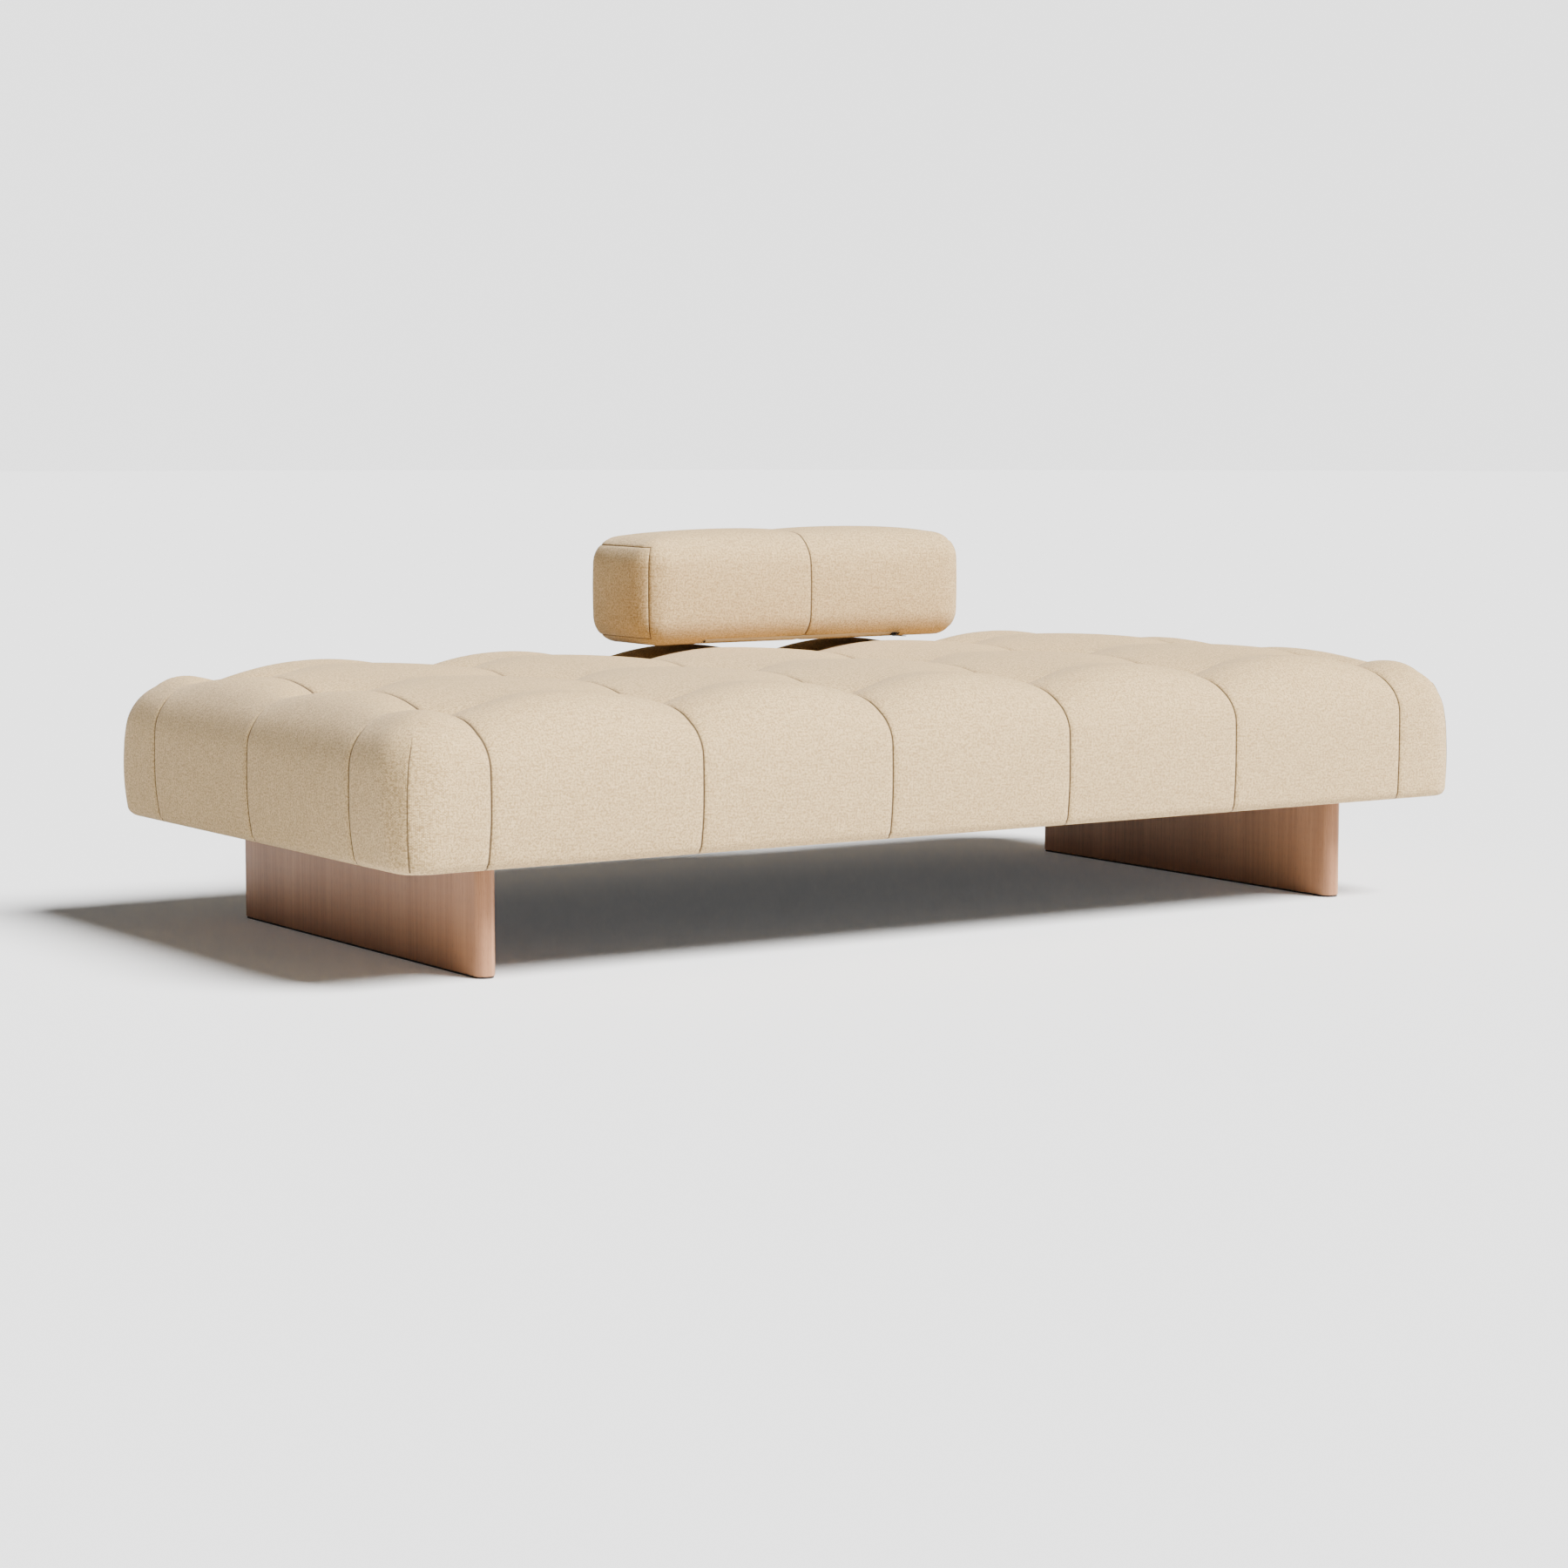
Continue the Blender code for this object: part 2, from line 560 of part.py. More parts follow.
def build_bolster():
    """The loose bolster: its cover, core and zip, all carried by one empty at its centre."""
    centre = (*BOLSTER_PLACE, BOLSTER_BASE + BOLSTER_HEIGHT / 2)
    lift = add_empty("bolster_lift", centre)
    # The zip lies on the round of the front lower edge, facing down and forwards.
    across = BOLSTER_DEPTH / 2 - BOLSTER_RADIUS + (BOLSTER_RADIUS - ZIP_SINK) * math.cos(ZIP_ANGLE)
    down = BOLSTER_HEIGHT / 2 - BOLSTER_RADIUS + (BOLSTER_RADIUS - ZIP_SINK) * math.sin(ZIP_ANGLE)
    turn = math.pi / 2 + ZIP_ANGLE
    zip_place = Vector((0, -across, -down))
    outward = Vector((0, -math.cos(ZIP_ANGLE), -math.sin(ZIP_ANGLE)))

    cover = add_object("bolster_cover", mesh_from(bolster_form(0.0), "bolster_cover"), CREAM, lift)
    modify(cover, "SOLIDIFY", thickness=BOLSTER_WALL, offset=-1, use_even_offset=True)
    slot_size = (ZIP_LENGTH, ZIP_WIDTH, 4 * BOLSTER_WALL)
    slot = add_object("zip_slot", box_mesh("zip_slot", slot_size), CREAM, lift, zip_place, turn)
    cut(cover, as_cutter(slot))
    core_mesh = mesh_from(bolster_form(CORE_INSET), "bolster_core")
    add_object("bolster_core", core_mesh, WHITE_FIBRE, lift)

    tape_size = (ZIP_LENGTH - 2 * GAP, ZIP_WIDTH - 2 * GAP, TAPE_THICKNESS)
    tape_place = zip_place - outward * TAPE_THICKNESS / 2
    add_object("zip_tape", box_mesh("zip_tape", tape_size), ZIP_CLOTH, lift, tape_place, turn)
    stop_height = GAP + STOP_SIZE[2] / 2
    for end, side in ((-1, "left"), (1, "right")):
        stop_place = zip_place + outward * stop_height
        stop_place.x = end * (ZIP_LENGTH / 2 - STOP_SIZE[0] / 2 - GAP)
        stop = add_object(f"zip_stop_{side}", box_mesh(f"zip_stop_{side}", STOP_SIZE), BLACK_METAL,
                          lift, stop_place, turn)
        modify(stop, "BEVEL", width=STOP_EDGE, segments=1)
    slider = build_slider(lift, zip_place + Vector((SLIDER_REST, 0, 0)), turn)
    build_pull(slider, turn)


def build_slider(lift, place, turn):
    """The zip's slider: a plate that runs on the closed chain, with two posts and a rod."""
    plate_mesh = box_mesh("zip_slider", SLIDER_PLATE)
    plate_mesh.transform(Matrix.Translation((0, 0, GAP + SLIDER_PLATE[2] / 2)))
    slider = add_object("zip_slider", plate_mesh, BLACK_METAL, lift, place, turn)
    for end, side in ((-1, "left"), (1, "right")):
        post_mesh = box_mesh(f"post_{side}", POST_SIZE)
        low = GAP + SLIDER_PLATE[2] - GAP / 2
        post_place = (end * POST_SPREAD, 0, low + POST_SIZE[2] / 2)
        post = add_object(f"post_{side}", post_mesh, BLACK_METAL, slider, post_place)
        cut(slider, as_cutter(post), "UNION")
    rod_mesh = cylinder_mesh("pull_rod", ROD_RADIUS, 2 * POST_SPREAD, "X")
    rod = add_object("pull_rod", rod_mesh, BLACK_METAL, slider, (0, 0, ROD_HEIGHT))
    cut(slider, as_cutter(rod), "UNION")
    return slider


def build_pull(slider, turn):
    """The pull: a knuckle round the slider's rod, a neck and a tab that lies level."""
    knuckle_mesh = cylinder_mesh("zip_pull", KNUCKLE_RADIUS, KNUCKLE_WIDTH, "X")
    pull = add_object("zip_pull", knuckle_mesh, BLACK_METAL, slider, (0, 0, ROD_HEIGHT), -turn)
    neck_size = (KNUCKLE_WIDTH - GAP, NECK_LENGTH, TAB_SIZE[2])
    neck_place = (0, -NECK_LENGTH / 2 - KNUCKLE_BORE - GAP / 2, 0)
    neck = add_object("pull_neck", box_mesh("pull_neck", neck_size), BLACK_METAL, pull, neck_place)
    cut(pull, as_cutter(neck), "UNION")
    tab_place = (0, -NECK_LENGTH - TAB_SIZE[1] / 2, 0)
    tab = add_object("pull_tab", box_mesh("pull_tab", TAB_SIZE), BLACK_METAL, pull, tab_place)
    cut(pull, as_cutter(tab), "UNION")
    bore_mesh = cylinder_mesh("pull_bore", KNUCKLE_BORE, 2 * KNUCKLE_WIDTH, "X")
    cut(pull, as_cutter(add_object("pull_bore", bore_mesh, BLACK_METAL, pull)))


clear_scene()
PARTS = collection("daybed")
CUTTERS = collection("cutters", hidden=True)
CREAM = finish("cream_weave", (0.66, 0.57, 0.46), 0.9)
WHITE_FIBRE = finish("white_fibre", (0.85, 0.85, 0.83), 0.95)
FOAM = finish("foam", (0.80, 0.74, 0.52), 0.95)
BLACK_CLOTH = finish("black_cloth", (0.02, 0.02, 0.02), 0.9)
PINE = finish("pine", (0.60, 0.43, 0.24), 0.7)
PLYWOOD = finish("plywood", (0.55, 0.40, 0.24), 0.7)
OAK = finish("oak_veneer", (0.40, 0.235, 0.14), 0.5)
FELT = finish("felt", (0.04, 0.03, 0.03), 0.95)
STEEL = finish("zinc_steel", (0.60, 0.60, 0.62), 0.35, 1.0)
BRASS = finish("brass", (0.62, 0.48, 0.24), 0.35, 1.0)
ZIP_CLOTH = finish("zip_tape_cloth", (0.60, 0.52, 0.42), 0.9)
BLACK_METAL = finish("black_metal", (0.015, 0.015, 0.016), 0.45, 0.6)

build_upholstery()
build_frame()
build_legs()
build_bolster()
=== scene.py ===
"""The daybed's looks: its sewn upholstery, slab legs, timber and zip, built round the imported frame.

Sizes are in metres, in the frame's own axes: +X along the length, +Y to the back, +Z up.
"""

import json
import logging
import math
from dataclasses import dataclass, field
from enum import Enum
from typing import Any, Callable, Dict, List, Optional, Sequence, Tuple

import bpy
import numpy as np
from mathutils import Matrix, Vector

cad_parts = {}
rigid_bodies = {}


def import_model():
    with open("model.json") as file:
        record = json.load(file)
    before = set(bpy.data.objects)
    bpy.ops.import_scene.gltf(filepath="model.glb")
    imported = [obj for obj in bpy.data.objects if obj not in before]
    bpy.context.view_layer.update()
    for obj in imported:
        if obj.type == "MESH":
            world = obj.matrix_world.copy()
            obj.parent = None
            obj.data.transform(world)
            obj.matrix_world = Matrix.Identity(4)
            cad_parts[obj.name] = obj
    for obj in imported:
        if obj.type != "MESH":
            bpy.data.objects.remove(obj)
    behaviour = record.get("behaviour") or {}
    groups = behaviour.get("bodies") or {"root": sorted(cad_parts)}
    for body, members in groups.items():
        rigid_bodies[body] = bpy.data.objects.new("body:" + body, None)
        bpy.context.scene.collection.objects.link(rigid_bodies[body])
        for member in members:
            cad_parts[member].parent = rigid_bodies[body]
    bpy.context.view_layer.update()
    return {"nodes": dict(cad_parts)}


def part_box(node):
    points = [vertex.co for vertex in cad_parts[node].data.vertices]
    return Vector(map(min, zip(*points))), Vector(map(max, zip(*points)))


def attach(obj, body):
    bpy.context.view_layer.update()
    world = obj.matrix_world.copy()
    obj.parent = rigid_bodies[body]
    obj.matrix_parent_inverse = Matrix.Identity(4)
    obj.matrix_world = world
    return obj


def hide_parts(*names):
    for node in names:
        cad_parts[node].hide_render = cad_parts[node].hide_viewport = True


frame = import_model()

LOG = logging.getLogger("daybed")

Colour = Tuple[float, float, float]
Array = np.ndarray


# ---------------------------------------------------------------------------------------------
# Shader graphs
# ---------------------------------------------------------------------------------------------


class Wire:
    """One value or vector socket of a node tree, with arithmetic that adds Math nodes."""

    def __init__(self, graph: "Graph", socket: Any) -> None:
        """Wraps a socket.

        Args:
            graph: The graph that the socket is in.
            socket: The node socket to wrap.

        Returns:
            Nothing.
        """
        self.graph = graph
        self.socket = socket

    def math(self, operation: str, *others: Any) -> "Wire":
        """Puts this value through a Math node.

        Args:
            operation: The Math node's operation.
            *others: Its other inputs, as wires or numbers.

        Returns:
            The result.
        """
        values = dict(enumerate((self, *others)))
        return self.graph.node("ShaderNodeMath", {"operation": operation}, values)

    def __add__(self, other: Any) -> "Wire":
        """Args: other, a wire or number. Returns: the sum."""
        return self.math("ADD", other)

    def __radd__(self, other: Any) -> "Wire":
        """Args: other, a number. Returns: the sum."""
        return self.math("ADD", other)

    def __sub__(self, other: Any) -> "Wire":
        """Args: other, a wire or number. Returns: the difference."""
        return self.math("SUBTRACT", other)

    def __rsub__(self, other: Any) -> "Wire":
        """Args: other, a number. Returns: that number less this value."""
        return (self * -1.0) + other

    def __mul__(self, other: Any) -> "Wire":
        """Args: other, a wire or number. Returns: the product."""
        return self.math("MULTIPLY", other)

    def __rmul__(self, other: Any) -> "Wire":
        """Args: other, a number. Returns: the product."""
        return self.math("MULTIPLY", other)

    def __truediv__(self, other: Any) -> "Wire":
        """Args: other, a wire or number. Returns: the quotient."""
        return self.math("DIVIDE", other)

    def __pow__(self, power: float) -> "Wire":
        """Args: power, a number. Returns: this value raised to it."""
        return self.math("POWER", power)

    def sine(self) -> "Wire":
        """Args: none. Returns: the sine of this value in radians."""
        return self.math("SINE")

    def size(self) -> "Wire":
        """Args: none. Returns: this value without its sign."""
        return self.math("ABSOLUTE")

    def floor(self) -> "Wire":
        """Args: none. Returns: the whole number below this value."""
        return self.math("FLOOR")

    def span(self, low: float, high: float) -> "Wire":
        """Carries a range of this value smoothly onto 0 to 1.

        Args:
            low: The value that becomes 0.
            high: The value that becomes 1.

        Returns:
            The carried value, held between 0 and 1.
        """
        settings = {"interpolation_type": "SMOOTHSTEP", "clamp": True}
        return self.graph.node("ShaderNodeMapRange", settings, {0: self, 1: low, 2: high})


class Graph:
    """A material's node tree, ending in one Principled shader."""

    def __init__(self, name: str) -> None:
        """Makes a material.

        Args:
            name: The material's name.

        Returns:
            Nothing.
        """
        self.material = bpy.data.materials.new(name)
        self.material.use_nodes = True
        self.tree = self.material.node_tree
        self.shader = self.tree.nodes["Principled BSDF"]

    def join(self, value: Any, target: Any) -> None:
        """Feeds a socket with a wire, or sets it to a constant.

        Args:
            value: A wire, number, vector or colour.
            target: The input socket.

        Returns:
            Nothing.
        """
        if isinstance(value, Wire):
            self.tree.links.new(value.socket, target)
        elif isinstance(value, tuple) and target.type == "RGBA" and len(value) == 3:
            target.default_value = (*value, 1.0)
        else:
            target.default_value = value

    def node(self, kind: str, settings: Dict[str, Any], values: Dict[Any, Any],
             output: Any = 0) -> Wire:
        """Adds a node of any type.

        Args:
            kind: The node's type.
            settings: Properties to set on it.
            values: What feeds its inputs, by name or number.
            output: The output to use, by name or number.

        Returns:
            That output.
        """
        made = self.tree.nodes.new(kind)
        for key, value in settings.items():
            setattr(made, key, value)
        for key, value in values.items():
            self.join(value, made.inputs[key])
        return Wire(self, made.outputs[output])

    def place(self, source: str) -> Wire:
        """Where the shaded point is.

        Args:
            source: "Object" for the object's own axes, or "UV" for the piece's cloth or veneer.

        Returns:
            The coordinates as a vector.
        """
        return self.node("ShaderNodeTexCoord", {}, {}, source)

    def attribute(self, name: str) -> Wire:
        """A number kept on the mesh.

        Args:
            name: The attribute's name.

        Returns:
            Its value.
        """
        return self.node("ShaderNodeAttribute", {"attribute_name": name}, {}, "Fac")

    def parts(self, vector: Wire) -> Tuple[Wire, Wire, Wire]:
        """Splits a vector.

        Args:
            vector: The vector.

        Returns:
            Its three parts.
        """
        first = self.node("ShaderNodeSeparateXYZ", {}, {0: vector})
        outputs = first.socket.node.outputs
        return first, Wire(self, outputs[1]), Wire(self, outputs[2])

    def vector(self, x: Any, y: Any, z: Any = 0.0) -> Wire:
        """Puts three values together.

        Args:
            x: The first part.
            y: The second part.
            z: The third part.

        Returns:
            The vector.
        """
        return self.node("ShaderNodeCombineXYZ", {}, {0: x, 1: y, 2: z})

    def noise(self, vector: Wire, scale: float, detail: float = 2.0) -> Wire:
        """Soft noise between 0 and 1.

        Args:
            vector: Where to sample it.
            scale: How many blotches there are to a unit.
            detail: How many finer layers it has.

        Returns:
            The noise.
        """
        values = {"Vector": vector, "Scale": scale, "Detail": detail}
        return self.node("ShaderNodeTexNoise", {}, values, "Fac")

    def mix(self, share: Any, first: Any, second: Any) -> Wire:
        """Blends two colours.

        Args:
            share: How much of the second there is.
            first: The first colour.
            second: The second colour.

        Returns:
            The blend.
        """
        values = {0: share, 6: first, 7: second}
        return self.node("ShaderNodeMix", {"data_type": "RGBA"}, values, 2)

    def bump(self, height: Wire, distance: float, strength: float = 1.0) -> Wire:
        """Turns a height into a shading normal.

        Args:
            height: The height, from 0 to 1.
            distance: How far 1 stands out.
            strength: How strongly it shows.

        Returns:
            The normal.
        """
        values = {"Height": height, "Distance": distance, "Strength": strength}
        return self.node("ShaderNodeBump", {}, values)

    def surface(self, **values: Any) -> Any:
        """Sets the shader's inputs.

        Args:
            **values: Wires or constants, by socket name with _ for a space.

        Returns:
            The material.
        """
        for key, value in values.items():
            self.join(value, self.shader.inputs[key.replace("_", " ")])
        return self.material


class Along(Enum):
    """The way that a timber piece's grain runs."""

    X = 0
    Y = 1
    Z = 2


@dataclass(frozen=True)
class Weave:
    """A plain weave of thick two-tone yarns, with painted shade in the gaps between them."""

    name: str
    pale: Colour
    deep: Colour
    warm: Colour
    # Painted shade: the colour that the gaps between the yarns are darkened towards.
    yarn_gap_shade: Colour
    stitch: Colour
    yarn: float = 0.00183
    relief: float = 0.00055
    roughness: float = 0.92

    def build(self) -> Any:
        """Args: none. Returns: the material, which reads UV in metres and a seam attribute."""
        graph = Graph(self.name)
        cloth = graph.place("UV")
        wobble = graph.noise(cloth, 90.0, 1.0) * 0.5
        across, along, _ = graph.parts(cloth)
        u = across / self.yarn + wobble
        v = along / self.yarn + wobble
        crossing = (u * math.pi).sine() * (v * math.pi).sine()
        over = crossing.span(-0.25, 0.25)
        mound = crossing.size() ** 0.5
        warp = graph.noise(graph.vector(u, v * 0.10), 0.9, 2.0)
        weft = graph.noise(graph.vector(u * 0.10, v, 7.0), 0.9, 2.0)
        melange = (warp * over + weft * (1.0 - over)).span(0.30, 0.70)
        patch = graph.noise(cloth, 65.0, 3.0).span(0.36, 0.66)
        tone = graph.mix(melange * 0.72 + over * 0.28, self.pale, self.deep)
        tone = graph.mix(patch * 0.30, tone, self.warm)
        fleck = graph.noise(cloth, 300.0, 2.0).span(0.46, 0.60)
        tone = graph.mix(fleck * 0.85, tone, self.deep)
        glint = graph.noise(graph.vector(u, v, 3.0), 0.62, 1.0).span(0.50, 0.68)
        tone = graph.mix(glint * 0.50, tone, self.pale)
        # Painted shade: the gaps between the yarns, where the weave's mound is low, are darkened
        # towards the gap-shade colour.
        tone = graph.mix((1.0 - mound.span(0.0, 0.75)) * 0.50, tone, self.yarn_gap_shade)
        stitch = graph.attribute("seam_gap").span(0.0024, 0.0009)
        tone = graph.mix(stitch * graph.attribute("seam_show") * 0.85, tone, self.stitch)
        height = mound * 0.8 + melange * 0.2
        return graph.surface(Base_Color=tone, Roughness=self.roughness, Sheen_Weight=0.12,
                             Sheen_Roughness=0.6, Specular_IOR_Level=0.18,
                             Normal=graph.bump(height, self.relief, 0.75))


@dataclass(frozen=True)
class Veneer:
    """Straight-grained oak veneer in narrow strips, with its grain upright."""

    name: str
    pale: Colour
    deep: Colour
    pore: Colour
    strip: float = 0.046
    roughness: float = 0.42

    def build(self) -> Any:
        """Args: none. Returns: the material, which reads UV in metres along and up the slab."""
        graph = Graph(self.name)
        round_slab, up, _ = graph.parts(graph.place("UV"))
        number = (round_slab / self.strip).floor()
        tint = graph.node("ShaderNodeTexWhiteNoise", {"noise_dimensions": "1D"}, {"W": number})
        sway = graph.noise(graph.vector(round_slab * 6.0, up * 3.0, number), 1.0, 2.0) * 0.012
        side = round_slab + sway
        broad = graph.noise(graph.vector(side * 150.0, up * 2.2, number), 1.0, 3.0)
        fine = graph.noise(graph.vector(side * 900.0, up * 9.0, number), 1.0, 3.0)
        pores = graph.noise(graph.vector(side * 2100.0, up * 60.0), 1.0, 1.0).span(0.60, 0.72)
        grain = (broad * 0.55 + fine * 0.45).span(0.30, 0.72)
        tone = graph.mix(grain * 0.62 + tint * 0.30, self.pale, self.deep)
        tone = graph.mix(pores * 0.45, tone, self.pore)
        joint = ((round_slab / self.strip) - number - 0.5).size().span(0.485, 0.5)
        tone = graph.mix(joint * 0.22, tone, self.pore)
        height = grain * 0.3 + (1.0 - pores) * 0.7
        return graph.surface(Base_Color=tone, Roughness=self.roughness,
                             Specular_IOR_Level=0.25, Normal=graph.bump(height, 0.00012, 0.5))


@dataclass(frozen=True)
class Timber:
    """Sawn timber or the layers of a plywood board."""

    name: str
    pale: Colour
    deep: Colour
    grain: Along
    ply: float = 0.0
    roughness: float = 0.7

    def build(self) -> Any:
        """Args: none. Returns: the material, which reads the object's own axes."""
        graph = Graph(self.name)
        parts = list(graph.parts(graph.place("Object")))
        scaled = [part * (4.0 if index == self.grain.value else 120.0)
                  for index, part in enumerate(parts)]
        lines = graph.noise(graph.vector(*scaled), 1.0, 4.0).span(0.30, 0.70)
        if self.ply:
            layer = (parts[2] * (math.pi / self.ply)).sine().span(-0.3, 0.3)
            lines = lines * 0.55 + layer * 0.35
        tone = graph.mix(lines, self.pale, self.deep)
        return graph.surface(Base_Color=tone, Roughness=self.roughness,
                             Normal=graph.bump(lines, 0.0003, 0.4))


@dataclass(frozen=True)
class Speckled:
    """Any plain finish with a fine grain: metal, felt, foam, fibre or cloth."""

    name: str
    first: Colour
    second: Colour
    grain: float
    relief: float
    roughness: float
    metallic: float = 0.0
    sheen: float = 0.0

    def build(self) -> Any:
        """Args: none. Returns: the material, which reads the object's own axes."""
        graph = Graph(self.name)
        place = graph.place("Object")
        grain = graph.noise(place, self.grain, 3.0).span(0.30, 0.70)
        cloudy = graph.noise(place, self.grain / 12.0, 2.0)
        tone = graph.mix(grain * 0.6 + cloudy * 0.4, self.first, self.second)
        worn = grain * 0.10 + (self.roughness - 0.05)
        return graph.surface(Base_Color=tone, Roughness=worn, Metallic=self.metallic,
                             Sheen_Weight=self.sheen,
                             Normal=graph.bump(grain, self.relief, 0.5))


@dataclass
class Finishes:
    """Every finish that the daybed uses, built once."""

    cream: Any = field(init=False)
    oak: Any = field(init=False)
    pine_x: Any = field(init=False)
    pine_y: Any = field(init=False)
    plywood: Any = field(init=False)
    fibre: Any = field(init=False)
    foam: Any = field(init=False)
    black_cloth: Any = field(init=False)
    felt: Any = field(init=False)
    steel: Any = field(init=False)
    brass: Any = field(init=False)
    tape: Any = field(init=False)
    black_metal: Any = field(init=False)

    def __post_init__(self) -> None:
        """Args: none. Returns: nothing; builds the materials."""
        # The fourth colour is painted shade for the gaps between the yarns.
        self.cream = Weave("cream_weave", (0.800, 0.580, 0.300), (0.370, 0.240, 0.100),
                           (0.690, 0.465, 0.220), (0.215, 0.130, 0.060),
                           (0.070, 0.040, 0.018)).build()
        self.oak = Veneer("oak_veneer", (0.500, 0.252, 0.130), (0.330, 0.155, 0.078),
                          (0.095, 0.045, 0.025)).build()
        pine_pale, pine_deep = (0.62, 0.45, 0.26), (0.45, 0.28, 0.13)
        self.pine_x = Timber("pine_along_x", pine_pale, pine_deep, Along.X).build()
        self.pine_y = Timber("pine_along_y", pine_pale, pine_deep, Along.Y).build()
        self.plywood = Timber("plywood", (0.60, 0.45, 0.28), (0.40, 0.27, 0.15), Along.X,
                              ply=0.0015).build()
        self.fibre = Speckled("white_fibre", (0.86, 0.86, 0.84), (0.72, 0.72, 0.69), 240.0,
                              0.002, 0.95, sheen=0.3).build()
        self.foam = Speckled("foam", (0.82, 0.74, 0.50), (0.70, 0.60, 0.36), 600.0, 0.0006,
                             0.92).build()
        self.black_cloth = Speckled("black_cloth", (0.022, 0.022, 0.023), (0.010, 0.010, 0.011),
                                    900.0, 0.0004, 0.9).build()
        self.felt = Speckled("felt", (0.060, 0.046, 0.040), (0.028, 0.021, 0.018), 1200.0,
                             0.0004, 0.95).build()
        self.steel = Speckled("zinc_steel", (0.62, 0.62, 0.64), (0.48, 0.48, 0.50), 300.0,
                              0.00005, 0.34, 1.0).build()
        self.brass = Speckled("brass", (0.66, 0.50, 0.25), (0.50, 0.36, 0.16), 300.0, 0.00005,
                              0.33, 1.0).build()
        self.tape = Speckled("zip_tape_cloth", (0.62, 0.53, 0.42), (0.46, 0.38, 0.29), 1500.0,
                             0.0003, 0.9).build()
        self.black_metal = Speckled("black_metal", (0.020, 0.020, 0.021), (0.010, 0.010, 0.011),
                                    500.0, 0.00004, 0.42, 0.6).build()


# ---------------------------------------------------------------------------------------------
# Surfaces
# ---------------------------------------------------------------------------------------------


def new_object(name: str, points: Array, faces: Sequence[Any], material: Any,
               uv: Optional[Array] = None) -> Any:
    """Makes a smooth mesh object at the origin.

    Args:
        name: The piece's name.
        points: Its vertices.
        faces: Its faces as vertex numbers.
        material: Its material.
        uv: A pair of coordinates for each face corner, if it has any.

    Returns:
        The object.
    """
    mesh = bpy.data.meshes.new(name)
    listed = faces.tolist() if isinstance(faces, np.ndarray) else faces
    mesh.from_pydata(points.tolist(), [], listed)
    if uv is not None:
        layer = mesh.uv_layers.new(name="cloth")
        layer.data.foreach_set("uv", np.ascontiguousarray(uv, np.float32).ravel())
    mesh.shade_smooth()
    mesh.materials.append(material)
    made = bpy.data.objects.new(name, mesh)
    bpy.context.scene.collection.objects.link(made)
    return made


def keep_number(thing: Any, name: str, values: Array) -> None:
    """Keeps a number at every vertex of a mesh.

    Args:
        thing: The object.
        name: The attribute's name.
        values: One number a vertex.

    Returns:
        Nothing.
    """
    layer = thing.data.attributes.new(name, "FLOAT", "POINT")
    layer.data.foreach_set("value", values.astype(np.float32))


def vertex_normals(points: Array, faces: Array) -> Array:
    """The outward directions at a quad mesh's vertices.

    Args:
        points: The vertices.
        faces: The quads.

    Returns:
        One unit vector a vertex.
    """
    corners = points[faces]
    flat = np.cross(corners[:, 2] - corners[:, 0], corners[:, 3] - corners[:, 1])
    total = np.stack([np.bincount(faces.ravel(), np.repeat(flat[:, axis], 4), len(points))
                      for axis in range(3)], 1)
    return total / np.maximum(np.linalg.norm(total, axis=1, keepdims=True), 1e-12)


def grid_quads(shape: Tuple[int, ...]) -> Array:
    """The quads of a grid of vertices.

    Args:
        shape: How many rows and columns of vertices there are.

    Returns:
        The quads, as places in the flattened grid.
    """
    number = np.arange(shape[0] * shape[1]).reshape(shape)
    quads = np.stack([number[:-1, :-1], number[1:, :-1], number[1:, 1:], number[:-1, 1:]], -1)
    return quads.reshape(-1, 4)


def add_wall(made: Any, thickness: float, offset: float) -> None:
    """Gives a thin piece its thickness.

    Args:
        made: The piece.
        thickness: Its thickness.
        offset: -1 if its surface is the outer face, and 1 if it is the inner one.

    Returns:
        Nothing.
    """
    wall = made.modifiers.new("Wall", "SOLIDIFY")
    wall.thickness, wall.offset = thickness, offset


def grid_lines(stops: Sequence[float], half: float, step: float,
               fine: Sequence[float] = ()) -> Array:
    """Places for grid lines: evenly between the stops, with closer ones beside each stop.

    Args:
        stops: Places that need a line of their own, between the two ends.
        half: The distance from the middle to each end.
        step: The widest space between two lines.
        fine: Distances from a stop for the closer lines.

    Returns:
        The places, in order.
    """
    ends = [-half, *stops, half]
    margin = fine[-1] if fine else 0.0
    found = [np.array(ends)]
    for first, second in zip(ends, ends[1:]):
        count = max(1, math.ceil((second - first - 2 * margin) / step))
        found.append(np.linspace(first + margin, second - margin, count + 1))
        found.append(first + np.array(fine))
        found.append(second - np.array(fine))
    return np.unique(np.round(np.concatenate(found), 6))


@dataclass
class Sheet:
    """One side of a box as a grid of points."""

    axis: int
    side: int
    points: Array
    ids: Array


